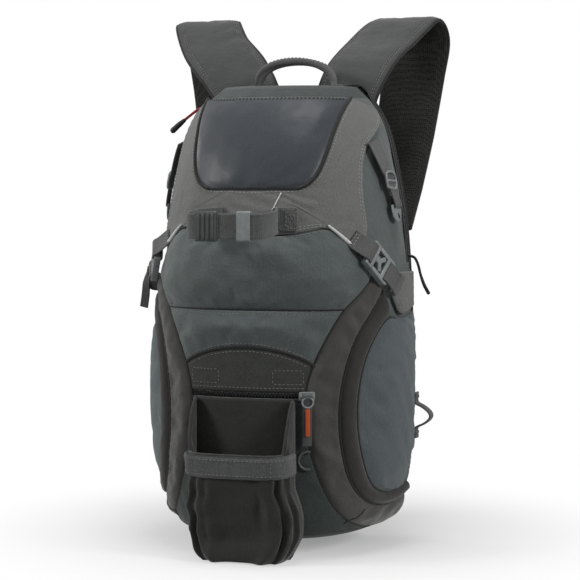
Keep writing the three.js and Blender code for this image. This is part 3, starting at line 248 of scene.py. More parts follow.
def rolled_edge(near, reach):
    """A round edge's height, from 0 at the edge to 1 at reach from it."""
    return np.sqrt(np.clip(1 - (1 - np.minimum(near / reach, 1)) ** 2, 0, 1))


def smoothstep(low, high, value):
    share = np.clip((value - low) / (high - low), 0, 1)
    return share * share * (3 - 2 * share)


# Meshes

def make_mesh(name, points, faces, uv=None, edge=None):
    """A piece from points in millimetres. uv (mm) is per point; edge is a point value."""
    mesh = bpy.data.meshes.new(name)
    mesh.from_pydata([tuple(p) for p in np.asarray(points) * MM], [], [tuple(f) for f in faces])
    mesh.update()
    if uv is not None:
        layer = mesh.uv_layers.new(name="Cloth")
        loops = np.zeros(len(mesh.loops), np.int32)
        mesh.loops.foreach_get("vertex_index", loops)
        layer.data.foreach_set("uv", np.asarray(uv, np.float32)[loops].ravel())
    if edge is not None:
        attribute = mesh.attributes.new("edge", "FLOAT", "POINT")
        attribute.data.foreach_set("value", np.asarray(edge, np.float32))
    mesh.polygons.foreach_set("use_smooth", [True] * len(mesh.polygons))
    obj = bpy.data.objects.new(name, mesh)
    bpy.context.scene.collection.objects.link(obj)
    return obj


def grid_faces(rows, columns, first=0, flip=False):
    at = np.arange(rows * columns).reshape(rows, columns) + first
    quads = np.stack([at[:-1, :-1], at[:-1, 1:], at[1:, 1:], at[1:, :-1]], -1).reshape(-1, 4)
    return quads[:, ::-1] if flip else quads


def closed_sheet(outer, inner):
    """Points and faces of a sheet with two sides: two grids joined round their edges."""
    rows, columns = outer.shape[:2]
    count = rows * columns
    points = np.concatenate([outer.reshape(-1, 3), inner.reshape(-1, 3)])
    faces = [*grid_faces(rows, columns), *grid_faces(rows, columns, count, True)]
    at = np.arange(count).reshape(rows, columns)
    loop = [*at[0, :-1], *at[:-1, -1], *at[-1, :0:-1], *at[:0:-1, 0]]
    for a, b in zip(loop, loop[1:] + loop[:1]):
        faces.append((b, a, a + count, b + count))
    return points, faces, loop


def add_rod(points, faces, rings):
    """Adds a short closed rod, through rings of ROD_SIDES points, to a growing mesh."""
    first = len(points)
    for ring in rings:
        points.extend(ring)
    for ring in range(len(rings) - 1):
        for side in range(ROD_SIDES):
            a = first + ring * ROD_SIDES + side
            b = first + ring * ROD_SIDES + (side + 1) % ROD_SIDES
            faces.append((a, b, b + ROD_SIDES, a + ROD_SIDES))
    last = len(points)
    faces.append(tuple(range(first + ROD_SIDES - 1, first - 1, -1)))
    faces.append(tuple(range(last - ROD_SIDES, last)))


def loft(rings, closed=False):
    """Points and faces of a skin over closed rings, with a fan at each end."""
    rings = np.asarray(rings, float)
    count, sides = rings.shape[:2]
    points = rings.reshape(-1, 3)
    faces = []
    spans = count if closed else count - 1
    for ring in range(spans):
        a, b = ring * sides, (ring + 1) % count * sides
        for side in range(sides):
            after = (side + 1) % sides
            faces.append((a + side, a + after, b + after, b + side))
    if closed:
        return points, faces
    ends = np.stack([rings[0].mean(0), rings[-1].mean(0)])
    first = len(points)
    points = np.concatenate([points, ends])
    for side in range(sides):
        after = (side + 1) % sides
        last = (count - 1) * sides
        faces.append((first, after, side))
        faces.append((first + 1, last + side, last + after))
    return points, faces


def outward(obj):
    """Turns all faces out, by the sign of the enclosed volume."""
    mesh = obj.data
    mesh.calc_loop_triangles()
    points = np.array([v.co for v in mesh.vertices])
    tris = np.array([t.vertices for t in mesh.loop_triangles])
    a, b, c = points[tris[:, 0]], points[tris[:, 1]], points[tris[:, 2]]
    if np.einsum("ij,ij->i", a, np.cross(b, c)).sum() < 0:
        mesh.flip_normals()
    return obj


def smooth_curve(points, steps):
    """A centripetal Catmull-Rom curve through points, with its tangents."""
    points = np.asarray(points, float)
    first = 2 * points[0] - points[1]
    last = 2 * points[-1] - points[-2]
    padded = np.concatenate([[first], points, [last]])
    found = []
    for index in range(len(points) - 1):
        p0, p1, p2, p3 = padded[index:index + 4]
        t0 = 0.0
        t1 = t0 + max(np.linalg.norm(p1 - p0), 1e-6) ** 0.5
        t2 = t1 + max(np.linalg.norm(p2 - p1), 1e-6) ** 0.5
        t3 = t2 + max(np.linalg.norm(p3 - p2), 1e-6) ** 0.5
        ends = index == len(points) - 2
        for t in np.linspace(t1, t2, steps, endpoint=False).tolist() + ([t2] if ends else []):
            a1 = (t1 - t) / (t1 - t0) * p0 + (t - t0) / (t1 - t0) * p1
            a2 = (t2 - t) / (t2 - t1) * p1 + (t - t1) / (t2 - t1) * p2
            a3 = (t3 - t) / (t3 - t2) * p2 + (t - t2) / (t3 - t2) * p3
            b1 = (t2 - t) / (t2 - t0) * a1 + (t - t0) / (t2 - t0) * a2
            b2 = (t3 - t) / (t3 - t1) * a2 + (t - t1) / (t3 - t1) * a3
            found.append((t2 - t) / (t2 - t1) * b1 + (t - t1) / (t2 - t1) * b2)
    return np.array(found)


def lengths_of(points):
    steps = np.linalg.norm(np.diff(points, axis=0), axis=1)
    return np.concatenate([[0], np.cumsum(steps)])


def even(points, spacing):
    """The same line with evenly spaced points."""
    run = lengths_of(points)
    count = max(2, int(round(run[-1] / spacing)) + 1)
    return read_at(np.linspace(0, run[-1], count), run, points)


def tube(points, radius, sides=10):
    """Rings of a round tube along a line; radius is a number or one for each point."""
    points = np.asarray(points, float)
    radius = np.broadcast_to(radius, len(points))
    forward = unit(np.gradient(points, axis=0))
    helper = np.array([0.0, 0.0, 1.0])
    if abs(forward[0] @ helper) > 0.9:
        helper = np.array([0.0, 1.0, 0.0])
    side = unit(np.cross(forward[0], helper))
    rings = []
    for point, ahead, size in zip(points, forward, radius):
        side = unit(side - ahead * (side @ ahead))
        other = np.cross(side, ahead)
        turn = np.linspace(0, 2 * np.pi, sides, endpoint=False)
        rings.append(point + size * (np.cos(turn)[:, None] * side + np.sin(turn)[:, None] * other))
    return np.array(rings)


def wrapped_uv(points, across, run):
    """Cloth places for a skin's rings: a grid of distances across them and one run along."""
    uv = np.zeros((len(points), 2))
    uv[:across.size, 0] = across.ravel()
    uv[:across.size, 1] = np.repeat(run, across.shape[1])
    return uv


END_ROUND = 0.6


def tube_piece(name, points, radius, sides=10, closed=False):
    points = np.asarray(points, float)
    rings = tube(points, radius, sides)
    if not closed:
        ends = []
        for ring, centre, sign in ((rings[0], points[0], -1), (rings[-1], points[-1], 1)):
            ahead = unit(points[1] - points[0]) if sign < 0 else unit(points[-1] - points[-2])
            size = np.linalg.norm(ring[0] - centre)
            ends.append(centre + ((ring - centre) + ahead * sign * size) * END_ROUND)
        rings = np.concatenate([[ends[0]], rings, [ends[1]]])
    made, faces = loft(rings, closed)
    turn = np.linspace(0, 2 * np.pi, sides, endpoint=False)
    uv = wrapped_uv(made, np.tile(turn * 2, (len(rings), 1)), lengths_of(rings.mean(1)))
    return outward(make_mesh(name, made, faces, uv))


# Materials: every shader's detail is procedural, at the scale of the real cloth

def linear(red, green, blue):
    """A colour given as on the screen, 0 to 255, turned to linear light."""
    def one(value):
        share = value / 255
        return share / 12.92 if share <= 0.04045 else ((share + 0.055) / 1.055) ** 2.4
    return (one(red), one(green), one(blue), 1.0)


def tint(colour, factor, lift=0.0):
    """A colour scaled and lifted, still within range."""
    return tuple(min(1.0, channel * factor + lift) for channel in colour[:3]) + (1.0,)


class Nodes:
    """Builds one material's node tree."""

    def __init__(self, name):
        self.material = bpy.data.materials.new(name)
        self.material.use_nodes = True
        self.tree = self.material.node_tree
        self.shader = self.tree.nodes["Principled BSDF"]

    def add(self, kind, inputs=None, **settings):
        node = self.tree.nodes.new(kind)
        for key, value in settings.items():
            setattr(node, key, value)
        for key, value in (inputs or {}).items():
            socket = node.inputs[key]
            if isinstance(value, bpy.types.NodeSocket):
                self.tree.links.new(value, socket)
            else:
                socket.default_value = value
        return node

    def link(self, source, target):
        self.tree.links.new(source, target)

    def math(self, operation, a, b=0.0):
        return self.add("ShaderNodeMath", {0: a, 1: b}, operation=operation).outputs[0]

    def scaled(self, value, factor, added):
        inputs = {0: value, 1: factor, 2: added}
        return self.add("ShaderNodeMath", inputs, operation="MULTIPLY_ADD").outputs[0]

    def finish(self, **inputs):
        """Gives the shader its inputs, each a value or another node's output."""
        for name, value in inputs.items():
            socket = self.shader.inputs[name.replace("_", " ")]
            if isinstance(value, bpy.types.NodeSocket):
                self.link(value, socket)
            else:
                socket.default_value = value
        return self.material

    def mix_colour(self, share, a, b, blend="MIX"):
        node = self.add("ShaderNodeMix", data_type="RGBA", blend_type=blend, clamp_result=True)
        for index, value in ((0, share), (6, a), (7, b)):
            if isinstance(value, bpy.types.NodeSocket):
                self.link(value, node.inputs[index])
            else:
                node.inputs[index].default_value = value
        return node.outputs[2]

    def noise(self, vector, scale, detail=3.0, roughness=0.55):
        inputs = {"Vector": vector, "Scale": scale, "Detail": detail, "Roughness": roughness}
        return self.add("ShaderNodeTexNoise", inputs).outputs["Fac"]

    def ramp(self, value, low, high):
        inputs = {"Value": value, 1: low, 2: high}
        return self.add("ShaderNodeMapRange", inputs, interpolation_type="SMOOTHSTEP").outputs[0]

    def waves(self, vector, pitch, direction):
        """Bands of that pitch in the vector's units."""
        scale = 2 * math.pi / 20 / pitch
        settings = {"wave_type": "BANDS", "bands_direction": direction}
        inputs = {"Vector": vector, "Scale": scale}
        return self.add("ShaderNodeTexWave", inputs, **settings).outputs["Fac"]


def cloth_uv(nodes):
    return nodes.add("ShaderNodeUVMap", uv_map="Cloth").outputs["UV"]


def place_mm(nodes):
    """The point in the object's own space, in millimetres."""
    place = nodes.add("ShaderNodeTexCoord").outputs["Object"]
    scale = {0: place, 1: (1 / MM, 1 / MM, 1 / MM)}
    return nodes.add("ShaderNodeVectorMath", scale, operation="MULTIPLY").outputs[0]


def cloth_material(
    name, colour, weave=1.3, relief=0.35, grain=0.22, cloudy=0.16, rough=0.82, sheen=0.25,
    ripstop=0.0, rib=0.0, worn=0.25, folded=0.35,
):
    """Woven cloth: crossing threads, grain, soft clouds of fading and paler worn edges."""
    nodes = Nodes(name)
    uv = cloth_uv(nodes)
    place = place_mm(nodes)
    warp = nodes.waves(uv, weave, "X")
    weft = nodes.waves(uv, rib if rib else weave, "Y")
    threads = nodes.math("MULTIPLY", warp, weft) if not rib else weft
    fine = nodes.noise(place, 0.75, 2.0, 0.6)
    clouds = nodes.noise(place, 0.035, 4.0, 0.6)
    speck = nodes.ramp(fine, 0.32, 0.68)
    fade = nodes.ramp(clouds, 0.3, 0.7)
    dark = tint(colour, (1 - grain) * (1 - cloudy))
    light = tint(colour, 1 + grain)
    base = nodes.mix_colour(speck, dark, light)
    faded = tint(colour, 1 + cloudy)
    base = nodes.mix_colour(nodes.math("MULTIPLY", fade, 0.5), base, faded)
    shade = nodes.scaled(threads, 0.3, 0.8)
    shaded = nodes.add("ShaderNodeCombineColor", {0: shade, 1: shade, 2: shade}).outputs[0]
    base = nodes.mix_colour(0.5, base, shaded, "MULTIPLY")
    height = threads
    if ripstop:
        lines = nodes.math("MAXIMUM", nodes.waves(uv, ripstop, "X"), nodes.waves(uv, ripstop, "Y"))
        lines = nodes.ramp(lines, 0.94, 1.0)
        height = nodes.math("MAXIMUM", height, nodes.math("MULTIPLY", lines, 1.3))
        grid = tint(colour, 1.35)
        base = nodes.mix_colour(nodes.math("MULTIPLY", lines, 0.22), base, grid)
    if worn:
        edge = nodes.add("ShaderNodeAttribute", attribute_name="edge").outputs["Fac"]
        patches = nodes.ramp(nodes.noise(place, 0.12), 0.35, 0.7)
        rubbed = nodes.math("MULTIPLY", nodes.ramp(edge, 0.25, 1.0), patches)
        pale = tint(colour, 1.7, 0.01)
        base = nodes.mix_colour(nodes.math("MULTIPLY", rubbed, worn), base, pale)
    folds = nodes.noise(place, 0.11, 3.0, 0.5)
    relief_in = nodes.math("ADD", nodes.math("MULTIPLY", height, 0.5), nodes.math("MULTIPLY", fine, 0.6))
    bump = nodes.add("ShaderNodeBump", {"Height": relief_in, "Strength": relief, "Distance": 0.35 * MM})
    soft = nodes.add("ShaderNodeBump", {
        "Height": folds, "Strength": folded, "Distance": 2.2 * MM, "Normal": bump.outputs[0],
    })
    return nodes.finish(
        Base_Color=base, Roughness=nodes.scaled(fine, 0.16, rough - 0.08), Normal=soft.outputs[0],
        Sheen_Weight=sheen, Sheen_Roughness=0.5, Specular_IOR_Level=0.3,
    )


def mesh_material(name, colour, pitch=3.2):
    """Open spacer mesh: rows of dark holes between rounded yarns."""
    nodes = Nodes(name)
    place = place_mm(nodes)
    cells = nodes.add("ShaderNodeTexVoronoi", {"Vector": place, "Scale": 1 / pitch, "Randomness": 0.25})
    hole = nodes.ramp(cells.outputs["Distance"], 0.5, 0.22)
    clouds = nodes.ramp(nodes.noise(place, 0.04, 3.0), 0.3, 0.7)
    pale = tint(colour, 1.25, 0.002)
    dark = tint(colour, 0.25)
    yarn = nodes.mix_colour(clouds, colour, pale)
    base = nodes.mix_colour(hole, yarn, dark)
    height = nodes.math("SUBTRACT", 1.0, hole)
    bump = nodes.add("ShaderNodeBump", {"Height": height, "Strength": 0.6, "Distance": 0.9 * MM})
    return nodes.finish(
        Base_Color=base, Roughness=0.9, Normal=bump.outputs[0], Specular_IOR_Level=0.25,
    )


def plastic_material(name, colour, rough=0.42, scratch=0.25):
    """Moulded plastic or rubber with a fine texture and faint rubbing."""
    nodes = Nodes(name)
    place = place_mm(nodes)
    fine = nodes.noise(place, 2.2, 3.0, 0.6)
    wide = nodes.noise(place, 0.16, 3.0, 0.6)
    pale = tint(colour, 1.5, 0.008)
    rubbed = nodes.math("MULTIPLY", nodes.ramp(wide, 0.45, 0.75), scratch)
    base = nodes.mix_colour(rubbed, colour, pale)
    bump = nodes.add("ShaderNodeBump", {"Height": fine, "Strength": 0.25, "Distance": 0.15 * MM})
    return nodes.finish(
        Base_Color=base, Roughness=nodes.scaled(fine, 0.2, rough - 0.08), Normal=bump.outputs[0],
    )


RIPSTOP = {"ripstop": 3.4, "sheen": 0.35, "grain": 0.14, "cloudy": 0.06}
PLAIN = {"weave": 1.2, "grain": 0.14, "cloudy": 0.1}
WOVEN = {"weave": 2.4, "rib": 1.9, "relief": 0.8, "grain": 0.2, "sheen": 0.3}
SPUN = {"weave": 0.6, "grain": 0.1, "worn": 0.0}
CORDED = {"weave": 1.0, "rib": 1.4, "relief": 0.7, "worn": 0.0}

BODY_CLOTH = cloth_material("body_cloth", linear(98, 106, 105), worn=0.3, **RIPSTOP)
TOP_CLOTH = cloth_material("top_cloth", linear(74, 81, 80), ripstop=3.4, sheen=0.25, worn=0.2)
SIDE_CLOTH = cloth_material("side_cloth", linear(98, 107, 110), worn=0.35, **RIPSTOP)
# The lower centre pocket: the body's ripstop in a darker tone, which is painted shade of the bag's lower
# part, where less of the light from above falls.
LOW_SHADED_CLOTH = cloth_material("low_cloth_painted_shade", linear(62, 69, 67), ripstop=3.4, sheen=0.2, worn=0.2)
BIB_MATERIAL = cloth_material(
    "bib_cloth", linear(68, 73, 79), weave=0.9, relief=0.14, grain=0.08, cloudy=0.12, rough=0.4,
    sheen=0.4, folded=0.12, worn=0.35,
)
CANVAS = cloth_material(
    "canvas", linear(124, 125, 123), weave=1.5, relief=0.4, grain=0.16, cloudy=0.06, rough=0.9,
    sheen=0.25, worn=0.3,
)
WING_CLOTH = cloth_material("wing_cloth", linear(80, 79, 76), sheen=0.45, **PLAIN)
RIM_CLOTH = cloth_material("rim_cloth", linear(61, 59, 57), sheen=0.35, worn=0.5, **PLAIN)
DARK_CLOTH = cloth_material("dark_cloth", linear(70, 72, 69), weave=1.2, grain=0.2, sheen=0.25)
POUCH_CLOTH = cloth_material(
    "pouch_cloth", linear(54, 54, 52), weave=1.3, grain=0.16, cloudy=0.1, sheen=0.3,
)
STRAP_CLOTH = cloth_material(
    "strap_cloth", linear(76, 77, 77), weave=1.1, relief=0.25, grain=0.12, rough=0.75, sheen=0.3,
)
WEBBING = cloth_material("webbing", linear(96, 97, 96), rough=0.8, worn=0.4, **WOVEN)
PALE_WEBBING = cloth_material("pale_webbing", linear(98, 99, 99), worn=0.3, **WOVEN)
SEAM_CORD = cloth_material(
    "seam_cord", linear(44, 44, 43), weave=1.2, rib=1.6, relief=0.4, grain=0.15, worn=0.0,
)
THREAD = cloth_material("thread", linear(136, 136, 132), sheen=0.3, **SPUN)
PALE_THREAD = cloth_material("pale_thread", linear(178, 180, 176), sheen=0.3, **SPUN)
DARK_WEBBING = cloth_material("dark_webbing", linear(58, 59, 58), worn=0.3, **WOVEN)
DARK_THREAD = cloth_material("dark_thread", linear(34, 34, 34), **SPUN)
PIPING = cloth_material("piping", linear(238, 239, 237), weave=0.8, grain=0.06, worn=0.0, sheen=0.5)
AIR_MESH = mesh_material("air_mesh", linear(50, 50, 48), pitch=2.3)
ZIP_TAPE = cloth_material("zip_tape", linear(36, 36, 36), weave=1.0, rib=1.2, grain=0.12, worn=0.0)
COIL = plastic_material("zip_coil", linear(48, 48, 48), rough=0.38)
GREY_PLASTIC = plastic_material("grey_plastic", linear(148, 153, 153), rough=0.3, scratch=0.4)
DARK_PLASTIC = plastic_material("dark_plastic", linear(88, 91, 91), rough=0.36, scratch=0.35)
DARK_RUBBER = plastic_material("dark_rubber", linear(40, 40, 40), rough=0.6)
ORANGE_RUBBER = plastic_material("orange_rubber", linear(214, 92, 42), rough=0.5, scratch=0.1)
DARK_CORD = cloth_material("dark_cord", linear(46, 46, 46), **CORDED)
RED_CORD = cloth_material("red_cord", linear(158, 40, 38), **CORDED)


def settle(obj, material, body="root", nodes=()):
    """Gives a piece its material slot and body, and hides the CAD nodes that it stands for."""
    obj.data.materials.clear()
    obj.data.materials.append(material)
    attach(obj, body)
    if nodes:
        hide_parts(*nodes)
    return obj


# The camera: the photograph's view, set by its direction, distance and frame

CAMERA_TURN = 18.0
CAMERA_RISE = 3.7
CAMERA_DISTANCE = 2.0
CAMERA_TARGET = Vector((0, -0.1, 0))
SENSOR = 36.0
FRAME_PIXELS = 580
FOCAL_PIXELS = 1900
TARGET_PIXEL = (271.0, 307.5)


def add_camera():
    data = bpy.data.cameras.new("camera")
    camera = bpy.data.objects.new("camera", data)
    bpy.context.scene.collection.objects.link(camera)
    turn, rise = math.radians(CAMERA_TURN), math.radians(CAMERA_RISE)
    level_share = math.cos(rise)
    back = Vector((math.sin(turn) * level_share, -math.cos(turn) * level_share, math.sin(rise)))
    camera.location = CAMERA_TARGET + back * CAMERA_DISTANCE
    camera.rotation_mode = "QUATERNION"
    camera.rotation_quaternion = (-back).to_track_quat("-Z", "Y")
    data.sensor_width = SENSOR
    data.lens = FOCAL_PIXELS * SENSOR / FRAME_PIXELS
    data.shift_x = (FRAME_PIXELS / 2 - TARGET_PIXEL[0]) / FRAME_PIXELS
    data.shift_y = (TARGET_PIXEL[1] - FRAME_PIXELS / 2) / FRAME_PIXELS
    bpy.context.scene.camera = camera


add_camera()


# The padded body under the panels

TOP_SEAM_V = 0.972


def body_piece():
    columns, rows = 150, 110
    u = np.linspace(-1, 1, columns + 1)
    heights = np.linspace(0, 1, rows + 1)
    rings = []
    for v in heights:
        points, normal, _, _ = skin(u, np.full_like(u, v))
        x, y = u * BODY_WIDTH * 0.75, np.full_like(u, v * BODY_HEIGHT)
        rise = 0.35 * ripple(x, y, 46, 3) * smoothstep(0.02, 0.08, v) * smoothstep(1, 0.95, v)
        fade = smoothstep(1, 0.93, np.abs(u))
        side = points + normal * (rise * fade)[..., None]
        back_x = np.linspace(side[-1, 0], side[0, 0], 14)[1:-1]
        back = np.stack([back_x, np.full(12, -BACK_PAD), np.full(12, side[0, 2])], -1)
        rings.append(np.concatenate([side, back]))
    caps = (0.97, 0.85, 0.6, 0.3)
    centre_low, centre_top = rings[0].mean(0), rings[-1].mean(0)
    low = [centre_low + (rings[0] - centre_low) * share for share in reversed(caps)]
    top = [centre_top + (rings[-1] - centre_top) * share for share in caps]
    points, faces = loft([*low, *rings, *top])
    uv = points[:, [0, 2]] + points[:, [1, 1]] * [1, 0]
    obj = outward(make_mesh("body", points, faces, uv, np.zeros(len(points))))
    settle(obj, BODY_CLOTH, nodes=["body_shell"])
    obj.data.materials.append(TOP_CLOTH)
    top_from = (TOP_SEAM_V - 0.5) * BODY_HEIGHT * MM
    index = [1 if face.center.z > top_from else 0 for face in obj.data.polygons]
    obj.data.polygons.foreach_set("material_index", index)
    return obj


body_piece()


# Cloth panels sewn on the body

def spaced(length, step):
    """Shares across a panel: close together at both edges, where the cloth rolls down."""
    near = [0, 0.35, 0.8, 1.4, 2.2, 3.4, 5.0]
    near = [value for value in near if value < length * 0.4]
    inner = max(2, int(round((length - 2 * near[-1]) / step)))
    middle = np.linspace(near[-1], length - near[-1], inner + 1)[1:-1]
    ends = [length - value for value in reversed(near)]
    return np.array([*near, *middle, *ends]) / length


def panel_lengths(place):
    shares = np.linspace(0, 1, 25)
    s, t = np.meshgrid(shares, shares)
    points = body_point(*place(s, t))
    across = np.linalg.norm(np.diff(points, axis=1), axis=-1).sum(1)
    along = np.linalg.norm(np.diff(points, axis=0), axis=-1).sum(0)
    return shares, across, along


PRESSURE = 2.5
SIM_FRAMES = 14
SIM_STEP = 6.0


def simulate(place, width, height, rise, swell):
    """How cloth sewn down round its edge swells under the padding: moves on a grid."""
    columns, rows = max(6, int(width / SIM_STEP)), max(6, int(height / SIM_STEP))
    s, t = np.meshgrid(np.linspace(0, 1, columns + 1), np.linspace(0, 1, rows + 1))
    u, v = place(s, t)
    outer, normal, _, _ = skin(u, v, SKIN_GAP + CLOTH + rise * dome(s) * dome(t))
    inner = skin(u, v, SKIN_GAP)[0]
    count = (rows + 1) * (columns + 1)
    points, faces, loop = closed_sheet(outer, inner)
    obj = outward(make_mesh("swelling", points, faces))
    pinned = obj.vertex_groups.new(name="pinned")
    held = [*range(count, 2 * count), *[int(index) for index in loop]]
    pinned.add(held, 1.0, "REPLACE")
    cloth = obj.modifiers.new("Cloth", "CLOTH")
    cloth.settings.quality = 4
    cloth.settings.mass = 0.2
    cloth.settings.tension_stiffness = 12
    cloth.settings.compression_stiffness = 8
    cloth.settings.bending_stiffness = 0.4
    cloth.settings.vertex_group_mass = "pinned"
    cloth.settings.use_pressure = True
    cloth.settings.uniform_pressure_force = PRESSURE
    cloth.settings.shrink_min = -swell
    cloth.settings.effector_weights.gravity = 0
    cloth.collision_settings.use_collision = False
    cloth.point_cache.frame_start = 1
    cloth.point_cache.frame_end = SIM_FRAMES
    scene = bpy.context.scene
    for step in range(1, SIM_FRAMES + 1):
        scene.frame_set(step)
    settled = obj.evaluated_get(bpy.context.evaluated_depsgraph_get())
    found = np.array([vertex.co for vertex in settled.data.vertices]) / MM
    bpy.data.objects.remove(obj)
    scene.frame_set(1)
    moved = (found - points)[:count].reshape(rows + 1, columns + 1, 3)
    out = np.einsum("ijk,ijk->ij", moved, normal)
    return np.nan_to_num(np.clip(out, -SWELL_CAP, SWELL_CAP))


def sample(grid, s, t):
    """Bilinear reading of a grid over the unit square."""
    rows, columns = grid.shape[0] - 1, grid.shape[1] - 1
    x, y = np.clip(s, 0, 1) * columns, np.clip(t, 0, 1) * rows
    i, j = np.minimum(y.astype(int), rows - 1), np.minimum(x.astype(int), columns - 1)
    fx, fy = x - j, y - i
    top = grid[i, j] * (1 - fx) + grid[i, j + 1] * fx
    low = grid[i + 1, j] * (1 - fx) + grid[i + 1, j + 1] * fx
    return top * (1 - fy) + low * fy


panels = {}


def cloth_panel(
    name, place, material, node, thick=CLOTH, raised=0.0, lift=0.0, ridge=False,
    pucker=0.35, crumple=0.5, step=3.6, seed=1, swell=0.0, roll=EDGE_ROLL,
):
    """One cloth panel: rolled edges, its padding's crown, seam puckers and soft creases."""
    shares, across, along = panel_lengths(place)
    width, height = across.mean(), along.mean()
    s_line, t_line = spaced(width, step), spaced(height, step)
    inset_s, inset_t = SEAM_HALF / width, SEAM_HALF / height
    s, t = np.meshgrid(inset_s + s_line * (1 - 2 * inset_s), inset_t + t_line * (1 - 2 * inset_t))
    wide = np.interp(t, shares, across)
    tall = np.interp(s, shares, along)
    x, y = (s - 0.5) * wide, t * tall
    from_side = np.minimum(s_line, 1 - s_line)[None, :] * wide
    from_end = np.minimum(t_line, 1 - t_line)[:, None] * tall
    near = np.minimum(from_side, from_end)
    rolled = rolled_edge(near, roll)
    crown = dome(s) if ridge else dome(s) * dome(t)
    off = thick * rolled + raised * crown
    ease = smoothstep(1, 9, near)
    off += crumple * (ripple(x, y, 34, seed) * 0.7 + ripple(x, y, 15, seed + 50) * 0.3) * ease
    decay = np.exp(-near / PUCKER_REACH) * smoothstep(0.2, 1.6, near)
    wander = 0.6 * ripple(x, y, 28, seed + 90)
    side_pucker = np.cos(2 * np.pi * y / PUCKER_PITCH + wander * 2) * (from_side <= from_end)
    end_pucker = np.cos(2 * np.pi * x / PUCKER_PITCH + wander * 2) * (from_side > from_end)
    off += pucker * (side_pucker + end_pucker) * decay
    if swell:
        moved = simulate(place, width, height, raised, swell)
        off += sample(moved, s, t) * ease
    off = np.maximum(off, 0.0)
    u, v = place(s, t)
    outer = skin(u, v, SKIN_GAP + lift + off)[0]
    inner = skin(u, v, np.full_like(u, SKIN_GAP + lift - 0.05))[0]
    rows, columns = outer.shape[:2]
    points = np.concatenate([outer.reshape(-1, 3), inner[1:-1, 1:-1].reshape(-1, 3)])
    faces = [tuple(f) for f in grid_faces(rows, columns)]
    below = np.arange(rows * columns).reshape(rows, columns)
    hidden = np.arange((rows - 2) * (columns - 2)).reshape(rows - 2, columns - 2)
    below[1:-1, 1:-1] = rows * columns + hidden
    back = np.stack([below[:-1, :-1], below[1:, :-1], below[1:, 1:], below[:-1, 1:]], -1)
    faces += [tuple(f) for f in back.reshape(-1, 4)]
    plane = np.stack([x, y], -1)
    uv = np.concatenate([plane.reshape(-1, 2), plane[1:-1, 1:-1].reshape(-1, 2)])
    edge = np.exp(-near / 2.2)
    edges = np.concatenate([edge.ravel(), np.zeros((rows - 2) * (columns - 2))])
    obj = outward(make_mesh(name, points, faces, uv, edges))
    settle(obj, material, nodes=[node])
    shown = [tuple(point) for point in outer.reshape(-1, 3)]
    panels[name] = BVHTree.FromPolygons(shown, [tuple(face) for face in grid_faces(rows, columns)])
    return obj


def between(left, right, rows):
    """A panel's places between two seams, both given as shares of their rows."""
    def place(s, t):
        a, b = left(t * rows), right(t * rows)
        return a[0] + (b[0] - a[0]) * s, a[1] + (b[1] - a[1]) * s
    return place


def side_of(sign, seam):
    def at(row):
        u, v = seam.at(row)
        return sign * u, v
    return at


def hem_height(u):
    """The yoke's lower hem over the middle of the front."""
    rows = np.linspace(POCKET_ROW, len(HEM_SEAM) - 1, 80)
    hem_u, hem_v = hem_seam.at(rows)
    return np.interp(np.abs(u), hem_u[::-1], hem_v[::-1])


hem_corner = [float(value) for value in hem_seam.at(POCKET_ROW)]


def upper_edge_points():
    arm = np.stack(hem_seam.at(np.linspace(POCKET_ROW, ARM_ROW + 1, 20)), -1)
    rows = np.linspace(0, len(WING_SEAM) - 1, 400)
    seam = np.stack(wing_seam.at(rows), -1)
    seam = seam[seam[:, 1] >= SLOT_V]
    joined = np.concatenate([arm, seam])
    last = [[float(wing_seam.u_at(SLOT_V)), SLOT_V]]
    return np.concatenate([joined, last])


upper_edge = upper_edge_points()


def front_place(edge, top, bottom):
    first, last = edge[0][1], edge[-1][1]
    run = np.linspace(0, 1, len(edge))

    def place(s, t):
        edge_u, edge_v = np.interp(t, run, edge[:, 0]), np.interp(t, run, edge[:, 1])
        share = 2 * s - 1
        down = (first - edge_v) / (first - last)
        return share * edge_u, top(share) * (1 - down) + bottom(share) * down
    return place


def wing_edge(top, bottom, count=40):
    heights = np.linspace(top, bottom, count)
    return np.stack([wing_seam.u_at(heights), heights], -1)


def level(height):
    return lambda share: np.full_like(share, height)


def arc_height(share):
    return ARC_MIDDLE + (ARC_END - ARC_MIDDLE) * np.abs(share) ** 2.2


upper_place = front_place(
    even(upper_edge, 0.004),
    lambda share: hem_height(share * hem_corner[0]) - 0.002,
    level(SLOT_V),
)
lower_place = front_place(wing_edge(SLOT_V, ARC_END), level(SLOT_V), arc_height)
flap_place = front_place(wing_edge(ARC_END, ZIP_TOP), arc_height, level(ZIP_TOP))
zip_place = front_place(wing_edge(ZIP_TOP, ZIP_LOW, 6), level(ZIP_TOP), level(ZIP_LOW))
centre_place = front_place(wing_edge(ZIP_LOW, CENTRE_LOW, 60), level(ZIP_LOW), level(CENTRE_LOW))


def bib_place(s, t):
    u, v = bib_seam.at(t * BIB_ROWS)
    return (2 * s - 1) * u, v


def yoke_place(s, t):
    rows = t * (2 * len(BIB_SEAM) - 2)
    (a_u, a_v), (b_u, b_v) = bib_seam.at(rows), hem_seam.at(rows)
    return a_u + (b_u - a_u) * s, a_v + (b_v - a_v) * s


